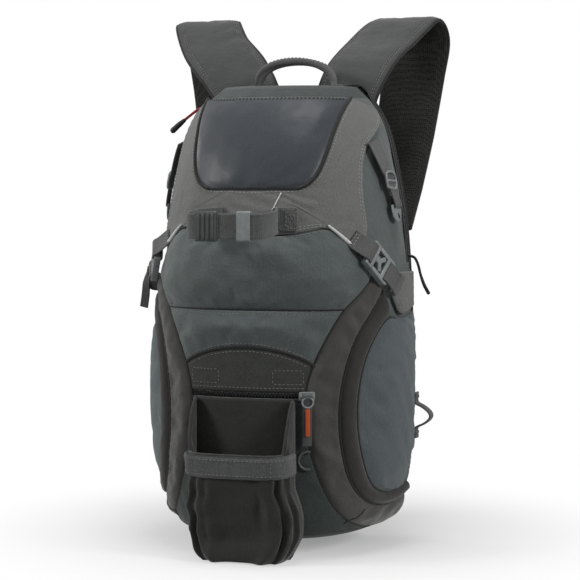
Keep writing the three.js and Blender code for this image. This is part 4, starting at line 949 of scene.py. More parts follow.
cloth_panel(
    "bib", bib_place, BIB_MATERIAL, "top_bib", thick=BIB_CLOTH, pucker=0.15,
    crumple=0.25, seed=11, raised=2.0, roll=6.0,
)
cloth_panel(
    "yoke_cloth", yoke_place, CANVAS, "yoke", pucker=0.25, crumple=0.35, seed=12, step=3.2,
)
cloth_panel(
    "front_upper", upper_place, BODY_CLOTH, "upper_front_panel", thick=PANEL_CLOTH,
    raised=11, seed=13, swell=0.03, crumple=0.6,
)
cloth_panel(
    "front_lower", lower_place, BODY_CLOTH, "lower_front_panel", thick=PANEL_CLOTH,
    raised=7, seed=14, swell=0.03, crumple=0.6,
)
cloth_panel("flap", flap_place, DARK_CLOTH, "flap_panel", seed=15, crumple=0.5)
# The lower centre pocket, in the darker cloth that paints the shade of the bag's lower part.
cloth_panel(
    "pocket_centre", centre_place, LOW_SHADED_CLOTH, "centre_pocket", thick=PANEL_CLOTH,
    raised=2, seed=16, crumple=0.7,
)
cloth_panel(
    "zip_tape", zip_place, ZIP_TAPE, "front_zip", thick=1.0, pucker=0.0, crumple=0.0,
    seed=17, step=3.0, roll=0.6,
)

for side, sign in SIDES:
    rows = len(WING_SEAM) - 1
    wing_place = between(side_of(sign, wing_seam), side_of(sign, rim_seam), rows)
    shift = len(POCKET_SEAM) - len(RIM_SEAM)

    def pocket_line(row, sign=sign, shift=shift):
        u, v = pocket_seam.at(row + shift)
        return sign * u, v

    rim_place = between(side_of(sign, rim_seam), pocket_line, rows)
    pocket_place = between(side_of(sign, pocket_seam), side_of(sign, rear_seam), len(POCKET_SEAM) - 1)
    cloth_panel(
        f"wing_{side}_cloth", wing_place, WING_CLOTH, f"wing_{side}", raised=4,
        ridge=True, seed=21 + sign, swell=0.02, crumple=0.5, pucker=0.45,
    )
    cloth_panel(
        f"rim_{side}_cloth", rim_place, RIM_CLOTH, f"rim_{side}", raised=6,
        ridge=True, seed=24 + sign, crumple=0.25, pucker=0.3,
    )
    cloth_panel(
        f"side_{side}_cloth", pocket_place, SIDE_CLOTH, f"side_pocket_{side}",
        raised=8, seed=27 + sign, swell=0.03, crumple=0.6, pucker=0.4,
    )


# Seams: dark cords between the panels, and rows of stitches beside them

RAY_HEIGHT = 40
RAY_LENGTH = 60
MISSED_OFF = 4.0


def lay(u, v, panel, off=0.0):
    """Points on a panel's own outer surface under places on the bag."""
    base, normal, _, _ = skin(u, v)
    found = []
    for point, ahead in zip(base, normal):
        above = Vector(point + ahead * RAY_HEIGHT)
        hit = panels[panel].ray_cast(above, Vector(-ahead), RAY_LENGTH)[0]
        found.append(np.array(hit) + ahead * off if hit else point + ahead * (MISSED_OFF + off))
    return np.array(found), normal


def stitches(name, lines, material):
    """Rows of sewn stitches as one piece; each line is its points and their normals."""
    points, faces = [], []
    profile = [(-0.5, 0.35), (-0.25, 1.0), (0.25, 1.0), (0.5, 0.35)]
    turns = np.linspace(0, 2 * np.pi, ROD_SIDES, endpoint=False)
    for line, normals in lines:
        run = lengths_of(line)
        pitch = STITCH_LENGTH + STITCH_GAP
        for start in np.arange(STITCH_GAP, run[-1] - STITCH_LENGTH, pitch):
            middle = start + STITCH_LENGTH / 2
            at, up = read_at(middle, run, line), read_at(middle, run, normals)
            before, after = read_at(start, run, line), read_at(start + STITCH_LENGTH, run, line)
            ahead = unit(after - before)
            up = unit(up - ahead * (up @ ahead))
            across, high = np.cross(ahead, up) * STITCH_WIDE / 2, up * STITCH_HIGH
            ring = [across * math.cos(turn) + high * math.sin(turn) for turn in turns]
            rings = []
            for share, size in profile:
                centre = at + ahead * share * STITCH_LENGTH
                rings.append([centre + point * size for point in ring])
            add_rod(points, faces, rings)
    uv = np.zeros((len(points), 2))
    return settle(outward(make_mesh(name, points, faces, uv)), material)


SEWN_POINTS = 70


def inset_line(place, side, distance, start, end):
    """Places along one side of a panel, a distance in from it."""
    shares, across, along = panel_lengths(place)
    run = np.linspace(start, end, SEWN_POINTS)
    if side in ("first", "last"):
        share = distance / np.interp(run, shares, across)
        return place(share if side == "first" else 1 - share, run)
    share = distance / np.interp(run, shares, along)
    return place(run, share if side == "top" else 1 - share)


def sewn(panel, place, sides, distances=(4.0,)):
    """Stitch lines on a panel along the named sides."""
    lines = []
    for side in sides:
        for distance in distances:
            u, v = inset_line(place, side, distance, SEWN_TRIM, 1 - SEWN_TRIM)
            lines.append(lay(u, v, panel, SEWN_OFF))
    return lines


def seam_cord(name, u, v, radius, off):
    """A dark corded edge that lies in the seam between two panels."""
    line = even(skin(u, v, off)[0], CORD_STEP)
    return settle(tube_piece(name, line, radius, 8), SEAM_CORD)


TACK_ENDS = (-0.93, 0.93)
TACK_SHIFTS = (0.0, 0.004, 0.008)
TACK_RISE = (0.004, 0.017)
PATCHES_U = ((0.11, 0.225), (-0.225, -0.11))
SLIT_U = (0.1, 0.135)
SLIT_RISE = (0.72, 0.757)
CORNER_U = (0.405, 0.5)
CORNER_V = (0.036, 0.064)

bib_lines = sewn("bib", bib_place, ["top"], (4.5, 7.5)) + sewn("bib", bib_place, ["bottom"], (3.5,))
stitches("bib_stitches", bib_lines, DARK_THREAD)
yoke_lines = sewn("yoke_cloth", yoke_place, ["last"], (4.0, 7.0))
yoke_lines += sewn("yoke_cloth", yoke_place, ["first"], (4.0,))
stitches("yoke_stitches", yoke_lines, PALE_THREAD)
front_lines = sewn("front_upper", upper_place, ["top"], (3.5,))
front_lines += sewn("front_lower", lower_place, ["top", "bottom"], (4.0,))
for end in TACK_ENDS:
    tack_u = np.full(6, end * float(wing_seam.u_at(SLOT_V)))
    for shift in TACK_SHIFTS:
        tack_v = SLOT_V + np.linspace(*TACK_RISE, 6)
        front_lines.append(lay(tack_u + shift, tack_v, "front_upper", 0.2))
stitches("front_stitches", front_lines, THREAD)
flap_lines = sewn("flap", flap_place, ["bottom"], (4.5,)) + sewn("flap", flap_place, ["top"], (4.0,))
for patch_u in PATCHES_U:
    for v in PATCH_V:
        flap_lines.append(lay(np.linspace(*patch_u, 12), np.full(12, v), "flap", 0.1))
    for u in patch_u:
        flap_lines.append(lay(np.full(12, u), np.linspace(*PATCH_V, 12), "flap", 0.1))
stitches("flap_stitches", flap_lines, THREAD)
slit_line, _ = lay(np.linspace(*SLIT_U, 8), np.linspace(*SLIT_RISE, 8), "yoke_cloth", 0.3)
settle(tube_piece("yoke_slit", slit_line, 0.7, 8), PIPING)

rows = np.linspace(0, BIB_ROWS, 80)
bib_u, bib_v = bib_seam.at(rows)
for side, sign in SIDES:
    seam_cord(f"bib_cord_{side}", sign * bib_u, bib_v, 1.9, 3.4)
low_u = np.linspace(-1, 1, 60) * float(bib_u[-1])
seam_cord("bib_cord_low", low_u, np.full(60, BIB_SEAM[-1][1]), 1.5, 2.6)
slot_u = np.linspace(-1, 1, 80) * float(wing_seam.u_at(SLOT_V))
seam_cord("slot_cord", slot_u, np.full(80, SLOT_V), 1.1, 2.4)
arc_share = np.linspace(-1, 1, 80)
arc_v = arc_height(arc_share)
seam_cord("arc_cord", arc_share * wing_seam.u_at(arc_v), arc_v, 1.8, 3.0)

for side, sign in SIDES:
    rows = np.linspace(0, len(WING_SEAM) - 1, 160)
    wing_u, wing_v = wing_seam.at(rows)
    rim_u, rim_v = rim_seam.at(rows)
    pocket_u, pocket_v = pocket_seam.at(np.linspace(0, len(POCKET_SEAM) - 1, 180))
    seam_cord(f"wing_cord_{side}", sign * wing_u, wing_v, 1.2, 2.4)
    seam_cord(f"rim_cord_{side}", sign * rim_u, rim_v, 1.7, 3.2)
    seam_cord(f"pocket_cord_{side}", sign * pocket_u, pocket_v, 1.7, 3.4)
    fold_u, fold_v = sign * np.linspace(*CORNER_U, 14), np.linspace(*CORNER_V, 14)
    fold_line, _ = lay(fold_u, fold_v, f"wing_{side}_cloth", 0.1)
    settle(tube_piece(f"corner_cord_{side}", fold_line, 0.9, 8), SEAM_CORD)


# Webbing: flat bands with a rounded edge and woven selvedges

SELVEDGE_POWER = 8
BAND_SECTION = [(1.0, 0.0), (0.985, 0.6), (0.95, 0.95), (0.86, 1.0), (0.8, 0.86), (0.4, 0.9), (0.0, 0.92)]


def round_section(half):
    """A whole section, as shares across and up, from its quarter from the edge to the middle."""
    top = [(-x, z) for x, z in half] + half[-2::-1]
    return top + [(-x, -z) for x, z in top[1:-1]]


def band(
    name, points, sides, width, thick, material=WEBBING, nodes=(), steps=6,
    widths=None, smooth=True,
):
    """A band of webbing through stations, each with the direction of its width."""
    points, sides = np.asarray(points, float), unit(np.asarray(sides, float))
    line = smooth_curve(points, steps) if smooth else points
    run_rows = lengths_of(points)
    run_line = lengths_of(line)
    share = np.interp(np.linspace(0, len(points) - 1, len(line)), np.arange(len(points)), run_rows)
    side = read_at(share, run_rows, sides)
    forward = unit(np.gradient(line, axis=0))
    side = unit(side - forward * np.einsum("ij,ij->i", side, forward)[:, None])
    up = np.cross(forward, side)
    half = np.full(len(line), width / 2)
    if widths is not None:
        half = half * np.interp(share, run_rows, widths)
    section = round_section(BAND_SECTION)
    rings = []
    for x, z in section:
        rings.append(line + side * (half * x)[:, None] + up * (z * thick / 2))
    rings = np.stack(rings, 1)
    made, faces = loft(rings)
    across = np.array([x for x, _ in section])
    uv = wrapped_uv(made, half[:, None] * across, run_line)
    edge = np.zeros(len(made))
    edge[:len(rings) * len(section)] = np.tile(np.abs(across) ** SELVEDGE_POWER, len(rings))
    obj = outward(make_mesh(name, made, faces, uv, edge))
    return settle(obj, material, nodes=nodes)


def box_stitch(at, along, up, length, width, off, cross=True):
    """A sewn rectangle, with its cross, as stitch lines round a middle point."""
    along, up = unit(np.asarray(along, float)), unit(np.asarray(up, float))
    side = np.cross(along, up)
    a, b, c, d = (
        at + along * x * length / 2 + side * y * width / 2 + up * off
        for x, y in ((-1, -1), (1, -1), (1, 1), (-1, 1))
    )
    pairs = [(a, b), (b, c), (c, d), (d, a)]
    if cross:
        pairs += [(a, c), (d, b)]
    return [(np.array(pair), np.array([up, up])) for pair in pairs]


def bevelled(name, node, material, width=0.7, body="root", levels=0):
    """A moulded piece: the CAD node's own form with softened edges."""
    source = frame["nodes"][node]
    mesh = source.data.copy()
    obj = bpy.data.objects.new(name, mesh)
    bpy.context.scene.collection.objects.link(obj)
    weld = obj.modifiers.new("weld", "WELD")
    weld.merge_threshold = 0.02 * MM
    flat = obj.modifiers.new("flat", "DECIMATE")
    flat.decimate_type = "DISSOLVE"
    flat.angle_limit = math.radians(2)
    if levels:
        soft = obj.modifiers.new("soft", "SUBSURF")
        soft.levels = levels
        soft.render_levels = levels
    else:
        bevel = obj.modifiers.new("bevel", "BEVEL")
        bevel.width = width * MM
        bevel.segments = 3
        bevel.limit_method = "ANGLE"
        bevel.angle_limit = math.radians(35)
    shown = bpy.context.evaluated_depsgraph_get()
    made = bpy.data.meshes.new_from_object(obj.evaluated_get(shown))
    obj.modifiers.clear()
    obj.data = made
    made.polygons.foreach_set("use_smooth", [True] * len(made.polygons))
    made.set_sharp_from_angle(angle=math.radians(50))
    return settle(obj, material, body, [node])


# Compression straps, D-ring straps and side loops, as in the CAD model

WEB_THICK = 1.6
STRAP_WEB = 22
BUCKLE_THICK = 7
BUCKLE_FRAME = 4.5
BUCKLE_BODY = 27
BUCKLE_HEAD = 11
BUCKLE_SLOT = 3.6
WING_RAISE = 4
BUCKLE_TOP = np.array([0.462, 0.642])
BUCKLE_LOW = np.array([0.618, 0.563])
GUSSET_UPPER = [(0.72, 0.582), (0.8, 0.582), (0.89, 0.581), (0.975, 0.58)]
GUSSET_LOWER = [(0.655, 0.538), (0.695, 0.508), (0.745, 0.48), (0.96, 0.5)]
RING_WIRE = 3.4
RING_DROP = 17
RING_WEB = 16
RING_START = np.array([0.645, 0.872])
RING_PLACE = np.array([0.757, 0.728])
SIDE_LOOP_PLACE = (0.925, 0.28)
SIDE_LOOP_WEB = 12
SIDE_LOOP_REACH = 16
SIDE_LOOP_HEIGHT = 27
SIDE_LOOP_SEWN = 11
SIDE_RAISE = 8
buckle_off = SKIN_GAP + CLOTH + WING_RAISE + SEAT + BUCKLE_THICK / 2
buckle_reach = BUCKLE_HEAD + BUCKLE_BODY + SEAT
TAIL_WEB = 12
TAIL_DROP = np.array([(-1, -1, -9), (-2, -1, -22), (-4, -1, -36)])
TAIL_TURNS = np.array([(0.8, -0.5, 0.3), (1, -0.5, 0), (1, -0.5, 0)])
GLIDE_SHARE = 0.62
GLIDE_OUT = 1.2
GLIDE_HALF = 7.0
GLIDE_PAST = 2.6
RING_WIDTHS = [2.1, 1.9, 1.6, 1.25, 1.05] + [1.0] * 8


def one(place, off=0.0):
    """The surface at a single place: point, normal and its two directions."""
    return [value[0] for value in skin(np.array([place[0]]), np.array([place[1]]), np.array([off]))]


def facing(vector, normal):
    """The vector, turned round where it points against the normal."""
    return -vector if vector @ normal < 0 else vector


def compression_strap(side, sign):
    turn = np.array([sign, 1])
    start = one(BUCKLE_TOP * turn, buckle_off)[0]
    end = one(BUCKLE_LOW * turn, buckle_off)[0]
    middle, normal, _, _ = one((BUCKLE_TOP + BUCKLE_LOW) / 2 * turn)
    along = unit(end - start)
    normal = unit(normal - along * (normal @ along))
    across = np.cross(normal, along)
    centre = middle + normal * buckle_off
    tip = buckle_reach / 2

    def local(stations):
        return [centre + along * x + normal * z for x, z in stations]

    tongue_slot = -tip + BUCKLE_HEAD / 2
    frame_slot = tip - BUCKLE_FRAME - BUCKLE_SLOT / 2
    over = BUCKLE_THICK / 2 + SEAT + WEB_THICK / 2
    sewn_place = (BUCKLE_TOP + (BUCKLE_LOW - BUCKLE_TOP) * -0.22) * turn
    sewn_at = one(sewn_place, SKIN_GAP + CLOTH + 3 * SEAT + WEB_THICK / 2)[0]
    top = [sewn_at, *local([
        (-tip - 5, 0.5), (-tip - 0.5, over - 0.4), (-tip + 2, over), (tongue_slot - 0.8, over - 0.4),
        (tongue_slot + 1, 0), (tongue_slot, -over + 0.5), (-tip + 1, -over), (-tip - 4, -over + 0.3),
    ])]
    band(
        f"yoke_web_{side}", top, [across] * len(top), STRAP_WEB, WEB_THICK,
        nodes=[f"yoke_webbing_{side}"], steps=5,
    )
    rising = unit(top[1] - sewn_at)
    over_web = facing(unit(np.cross(across, rising)), normal)
    sewn_off = WEB_THICK / 2 + 0.2
    box = box_stitch(sewn_at + rising * 3, rising, over_web, 3.2, STRAP_WEB - 2, sewn_off, False)
    stitches(f"yoke_web_stitches_{side}", box, PALE_THREAD)
    bevelled(f"buckle_open_{side}", f"buckle_frame_{side}", GREY_PLASTIC, width=0.9)
    bevelled(f"buckle_fork_{side}", f"buckle_tongue_{side}", GREY_PLASTIC, width=0.9)

    upper, lower = Seam(GUSSET_UPPER), Seam(GUSSET_LOWER)
    place = between(side_of(sign, upper), side_of(sign, lower), 3)
    panel = f"gusset_{side}"
    cloth_panel(
        panel, place, CANVAS, f"side_gusset_{side}", lift=CLOTH, pucker=0.2, crumple=0.3,
        seed=31 + sign, step=3,
    )
    lines = sewn(panel, place, ["first", "last", "top"], (3.0,))
    run = np.linspace(0.05, 0.95, 30)
    for share in (0.45, 0.55):
        lines.append(lay(*place(run, np.full(30, share)), panel, 0.1))
    stitches(f"gusset_stitches_{side}", lines, THREAD)
    first = (np.array(GUSSET_UPPER[0]) + GUSSET_LOWER[0]) / 2
    second = (np.array(GUSSET_UPPER[1]) + GUSSET_LOWER[1]) / 2
    low_off = SKIN_GAP + 2 * CLOTH + 4 * SEAT + WEB_THICK / 2
    sewn_low = one((first + (second - first) * 0.6) * turn, low_off)[0]
    low = local([
        (frame_slot - 5.5, -over + 3), (frame_slot - 1.0, -0.5), (frame_slot - 0.2, over - 1.2),
        (frame_slot + 2.4, over), (tip + 4, over), (tip + 12, over * 0.8),
    ])
    forward = unit(sewn_low - low[-1])
    low += [sewn_low + normal * 0.4, sewn_low + forward * 5]
    band(
        f"side_web_{side}", low, [across] * len(low), STRAP_WEB, WEB_THICK,
        nodes=[f"side_webbing_{side}"], steps=5,
    )
    up = facing(unit(np.cross(forward, across)), normal)
    if side == "left":
        tail = local([(tip - 2, over + WEB_THICK), (tip + 3, over + WEB_THICK)])
        tail += [tail[1] + drop for drop in TAIL_DROP]
        band("loose_web", tail, [across, across, *TAIL_TURNS], TAIL_WEB, WEB_THICK, DARK_WEBBING)
    box = box_stitch(sewn_low - forward * 3, forward, up, 9, STRAP_WEB - 6, WEB_THICK / 2 + 0.15, False)
    stitches(f"side_web_stitches_{side}", box, THREAD)


def ring_strap(side, sign):
    turn = np.array([sign, 1])
    root, normal, along, up = one(RING_PLACE * turn)
    wrap = RING_WIRE / 2 + SEAT + WEB_THICK / 2
    bar_off = SKIN_GAP + WEB_THICK + wrap + SEAT
    bar = root + normal * bar_off
    bar_side = unit(along - up * (along @ up))
    up = unit(np.cross(normal, bar_side))
    ring_root = SKIN_GAP + CLOTH + WEB_THICK / 2 + SEAT / 4
    climb, way = bar_off + wrap - ring_root, RING_PLACE - RING_START
    stations = []
    for step in range(5):
        place = RING_START + way * step / 5 * 0.95
        stations.append(one(place * turn, ring_root + climb * step / 5)[0])
    for step in range(7):
        angle = step / 6 * math.pi
        stations.append(bar + normal * math.cos(angle) * wrap - up * math.sin(angle) * wrap)
    stations.append(bar - normal * wrap + up * RING_DROP * 0.6)
    band(
        f"ring_web_{side}", stations, [bar_side] * len(stations), RING_WEB, WEB_THICK,
        nodes=[f"ring_strap_{side}"], steps=4, widths=RING_WIDTHS,
    )
    glide = one((RING_START + way * GLIDE_SHARE) * turn)
    centre = glide[0] + glide[1] * (ring_root + climb * GLIDE_SHARE + GLIDE_OUT)
    reach = bar_side * (RING_WEB / 2 + GLIDE_PAST)
    high = up * GLIDE_HALF
    loop = [centre - high - reach, centre - high + reach, centre + high + reach, centre + high - reach]
    rounded = smooth_curve([*loop, loop[0]], 10)
    bar_line = even(np.array([centre - reach, centre + reach]), 3)
    for name, line, radius in (("ring_glide", rounded, 1.5), ("ring_glide_bar", bar_line, 1.3)):
        settle(tube_piece(f"{name}_{side}", line, radius, 8), GREY_PLASTIC)
    bevelled(
        f"ring_wire_{side}", f"d_ring_{side}", GREY_PLASTIC, width=0.5, body=f"d_ring_{side}", levels=2,
    )


def side_bow(side, sign):
    turn = np.array([sign, 1])
    root, normal, along, _ = one(np.array(SIDE_LOOP_PLACE) * turn, SKIN_GAP)
    off = CLOTH + SIDE_RAISE * 0.5 + SEAT + WEB_THICK
    stations = [(0, -SIDE_LOOP_SEWN)]
    for step in range(9):
        angle = step / 8 * math.pi
        stations.append((math.sin(angle) * SIDE_LOOP_REACH, step / 8 * SIDE_LOOP_HEIGHT))
    stations.append((0, SIDE_LOOP_HEIGHT + SIDE_LOOP_SEWN))
    points = [root + normal * (off + out) - np.array([0, 0, low]) for out, low in stations]
    band(
        f"side_bow_{side}", points, [along] * len(points), SIDE_LOOP_WEB, WEB_THICK * 1.4,
        nodes=[f"side_loop_{side}"], steps=5,
    )
    lines = []
    for low in (-SIDE_LOOP_SEWN / 2, SIDE_LOOP_HEIGHT + SIDE_LOOP_SEWN / 2):
        middle = root + normal * off - np.array([0, 0, low])
        size = (7, SIDE_LOOP_WEB - 4, WEB_THICK * 0.7 + 0.15)
        lines += box_stitch(middle, [0, 0, 1], normal, *size, False)
    stitches(f"side_bow_stitches_{side}", lines, THREAD)


for side, sign in SIDES:
    compression_strap(side, sign)
    ring_strap(side, sign)
    side_bow(side, sign)

# Light reflective piping under the yoke's arms
PIPING_SHARE = 0.78
PIPING_RISE = 1.7
PIPING_RADII = (1.2, 2.3)

for side, sign in SIDES:
    corner = np.array(HEM_SEAM[POCKET_ROW])
    arm = np.array(HEM_SEAM[POCKET_ROW - 1])
    shares = np.linspace(0, PIPING_SHARE, 30)
    u, v = (corner[k] + (arm[k] - corner[k]) * shares for k in (0, 1))
    line = even(skin(sign * u, v, SKIN_GAP + PANEL_CLOTH + PIPING_RISE)[0], 2.5)
    piece = tube_piece(f"light_piping_{side}", line, np.linspace(*PIPING_RADII, len(line)), 10)
    settle(piece, PIPING, nodes=[f"piping_{side}"])


# The tripod pouch: a pleated bucket with a webbing band round its mouth

POUCH_WIDTH = 104
POUCH_DEPTH = 48
POUCH_WALL = 2.4
POUCH_RIM_DROP = 54
POUCH_HANG = 18
POUCH_BELLY = 0.16
POUCH_TUCK = 0.1
PLEAT_DEPTH = 4
PLEATS = 5
BAND_HEIGHT = 23
BAND_THICK = 2.2
CENTRE_RAISE = 2
pouch_back_off = SKIN_GAP + CLOTH + CENTRE_RAISE + 3 * SEAT
pouch_low = -BODY_HEIGHT / 2 - POUCH_HANG
pouch_top = (ZIP_LOW - 0.5) * BODY_HEIGHT
pouch_edge = POUCH_WIDTH / BODY_WIDTH * 0.5


def rounded(value):
    """Squares off a sine or cosine, for the pouch's rounded corners."""
    return np.sign(value) * np.abs(value) ** 0.45


def pouch_point(turn, z, grow, pleat_depth=PLEAT_DEPTH):
    level_share = np.clip((z - pouch_low) / (pouch_top - POUCH_RIM_DROP - pouch_low), 0, 1)
    height = np.clip(z / BODY_HEIGHT + 0.5, 0.035, 1)
    belly = POUCH_BELLY * np.sin(np.pi * np.clip(level_share * 1.5, 0, 1))
    flare = 1 + belly - POUCH_TUCK * (1 - np.clip(level_share * 5, 0, 1))
    behind = np.abs(turn) > 0.5
    share = np.sign(turn) * (1 - (np.abs(turn) - 0.5) * 2)
    back = skin(share * pouch_edge * flare, height, pouch_back_off - grow)[0]
    back[..., 2] = z
    corner = skin(pouch_edge * flare, height, np.full_like(height, pouch_back_off))[0]
    angle = turn * np.pi
    pleat = pleat_depth * np.cos(turn * 2 * np.pi * PLEATS) * (1 - level_share) * np.cos(angle)
    depth = POUCH_DEPTH * (0.8 + 0.2 * level_share) + grow - pleat
    x = rounded(np.sin(angle)) * (corner[..., 0] + grow)
    front = np.stack([x, corner[..., 1] - rounded(np.cos(angle)) * depth, z], -1)
    return np.where(behind[..., None], back, front)


def pouch_piece():
    count, levels = 176, 54
    turn = -1 + 2 * (np.arange(count) + 0.5) / count
    reach = np.clip((np.abs(turn) - 0.36) / 0.14, 0, 1)
    rim = pouch_top - POUCH_RIM_DROP * (1 - reach)
    shares = np.linspace(0, 1, levels + 1) ** 1.1
    rings = []
    for wall, floor in ((0.0, 0.0), (-POUCH_WALL, POUCH_WALL)):
        layer = []
        for share in shares:
            z = pouch_low + floor + (rim - pouch_low - floor) * share
            around = turn * (POUCH_WIDTH + POUCH_DEPTH)
            drop = 1.8 * ripple(around, z * 0.05, 15, 41) * (1 - share) ** 0.6 * np.clip(share * 6, 0, 1)
            drop += 0.6 * ripple(around, z, 22, 43)
            drop *= smoothstep(0.5, 0.42, np.abs(turn)) * smoothstep(0.0, 0.06, share)
            closing = smoothstep(0.0, 0.035, share)
            layer.append(pouch_point(turn, z, wall + drop - 2.5 * (1 - closing)))
        rings.append(layer)
    inner = rings[1][::-1]
    low = rings[0][0]
    centre = low.mean(0)
    under = [centre + (low - centre) * share for share in (0.3, 0.65, 0.93)]
    floor = inner[-1]
    middle = floor.mean(0)
    above = [middle + (floor - middle) * share for share in (0.8, 0.4)]
    all_rings = [*under, *rings[0], *inner, *above]
    points, faces = loft(all_rings)
    around = np.concatenate([np.tile(turn * (POUCH_WIDTH + POUCH_DEPTH), len(all_rings)), [0, 0]])
    uv = np.stack([around, points[:, 2]], -1)
    obj = outward(make_mesh("pouch", points, faces, uv))
    settle(obj, POUCH_CLOTH, nodes=["tripod_pouch"])
    rim_line = pouch_point(turn, rim, np.full(count, -POUCH_WALL / 2))
    keep = np.abs(turn) < 0.5
    binding = tube_piece("pouch_binding", even(rim_line[keep], 3.0), 1.9, 8)
    settle(binding, DARK_WEBBING)


def pouch_band():
    columns, rows = 150, 12
    turn = np.linspace(-0.49, 0.49, columns + 1)
    layers = []
    sag = 2.5 * np.cos(turn * np.pi) ** 2
    for grow in (3 * SEAT + BAND_THICK, 3 * SEAT + 0.2):
        grid = []
        for row in range(rows + 1):
            share = row / rows
            z = pouch_top - POUCH_RIM_DROP - share * BAND_HEIGHT - sag * 0.5 + 1
            past = max(0.0, abs(2 * share - 1) - 0.86) / 0.14
            roll = BAND_THICK * (1 - math.sqrt(max(0.0, 1 - past**2)))
            wave = 0.5 * ripple(turn * 150, np.full_like(turn, share * 8), 30, 47)
            lift = grow - (roll if grow > 2 * BAND_THICK * 0.5 + SEAT else 0)
            grid.append(pouch_point(turn, z, lift + wave, 0.6))
        layers.append(np.array(grid))
    outer, inner = layers
    points, faces, _ = closed_sheet(outer, inner)
    x = np.tile(turn * 200, rows + 1)
    y = np.repeat(np.linspace(0, BAND_HEIGHT, rows + 1), columns + 1)
    uv = np.tile(np.stack([y, x], -1), (2, 1))
    obj = outward(make_mesh("pouch_rim_band", points, faces, uv))
    settle(obj, PALE_WEBBING, nodes=["pouch_band"])
    lines = []
    up = unit(np.cross(np.gradient(outer[rows // 2], axis=0), [0, 0, 1]))
    if up[columns // 2, 1] > 0:
        up = -up
    for row in (2, rows - 2):
        lines.append((outer[row] + up * 0.15, up))
    middle = columns // 2
    for column in (10, middle - 26, middle + 26, columns - 10):
        lines.append((outer[2:rows - 1, column] + up[column] * 0.15, np.tile(up[column], (rows - 3, 1))))
    stitches("pouch_band_stitches", lines, THREAD)


pouch_piece()
pouch_band()


# The tripod strap: a webbing loop off the yoke, with its buckle and slider

LOOP_WIDTH = 92
LOOP_REACH = 60
LOOP_DROOP = 6
LOOP_WEB = 25
LOOP_V = 0.7
LOOP_PATH = [(0.8, 0.3), (0.82, 0.75), (0.66, 1), (0, 1), (-0.84, 1), (-1, 0.86), (-1, 0.3)]
SEWN_ENDS = [0.2, 0.16, 0.12]
CLIP_RIBS = (-7, -2.5, 2.5, 7)
CLIP_PROUD = 2.7
TACK_ROWS = (0.16, -0.12, -0.2)


def tripod_strap():
    off = SKIN_GAP + CLOTH + 2 * SEAT + WEB_THICK / 2
    root = one((0, LOOP_V), off)[0]
    front_y, low_z = root[1] - LOOP_REACH, root[2] - LOOP_DROOP
    points, sides = [], []
    ends = [one((u, LOOP_V), off) for u in SEWN_ENDS]
    far_ends = [one((-u, LOOP_V), off) for u in reversed(SEWN_ENDS)]
    for point, _, _, up in ends:
        points.append(point)
        sides.append(up)
    for side, out in LOOP_PATH:
        y, z = root[1] + (front_y - root[1]) * out, root[2] + (low_z - root[2]) * out
        points.append(np.array([side * LOOP_WIDTH / 2, y, z]))
        sides.append(np.array([0, 0, 1.0]))
    for point, _, _, up in far_ends:
        points.append(point)
        sides.append(up)
    band(
        "tripod_web", points, sides, LOOP_WEB, WEB_THICK, PALE_WEBBING, nodes=["tripod_strap"], steps=8,
    )
    bevelled("web_slider", "strap_slider", GREY_PLASTIC, width=0.8)
    bevelled("web_clip", "strap_clip", DARK_PLASTIC, width=0.9)
    front = np.array([0, front_y - WEB_THICK / 2, low_z])
    for index, x in enumerate(CLIP_RIBS):
        at = front + np.array([-LOOP_WIDTH / 4 + x, -CLIP_PROUD, 0])
        rib = np.array([at + [0, 0, -LOOP_WEB / 2], at, at + [0, 0, LOOP_WEB / 2]])
        settle(tube_piece(f"clip_rib_{index}", even(rib, 3), 1.1, 8), DARK_PLASTIC)
    lines = []
    for x in TACK_ROWS:
        at = front + np.array([x * LOOP_WIDTH, 0, 0])
        reach = LOOP_WEB / 2 - 2
        row = np.array([at + [0, -0.15, -reach], at + [0, -0.15, reach]])
        lines.append((row, np.array([[0, -1.0, 0], [0, -1.0, 0]])))
    for sign in (1, -1):
        point, normal, along, _ = one((sign * (SEWN_ENDS[0] + SEWN_ENDS[1]) / 2, LOOP_V), off)
        lines += box_stitch(point, along, normal, 12, LOOP_WEB - 6, WEB_THICK / 2 + 0.2)
    stitches("tripod_web_stitches", lines, THREAD)


tripod_strap()


# The grab handle

HANDLE_SPAN = 84
HANDLE_RISE = 30
HANDLE_WIDTH = 24
HANDLE_THICK = 8
FOOT_LENGTH = 20
FOOT_THICK = 3
HANDLE_STEPS = 24
HANDLE_SECTION = [(1, 0), (0.98, 0.45), (0.9, 0.8), (0.7, 1), (0.35, 1.04), (0, 1.05)]


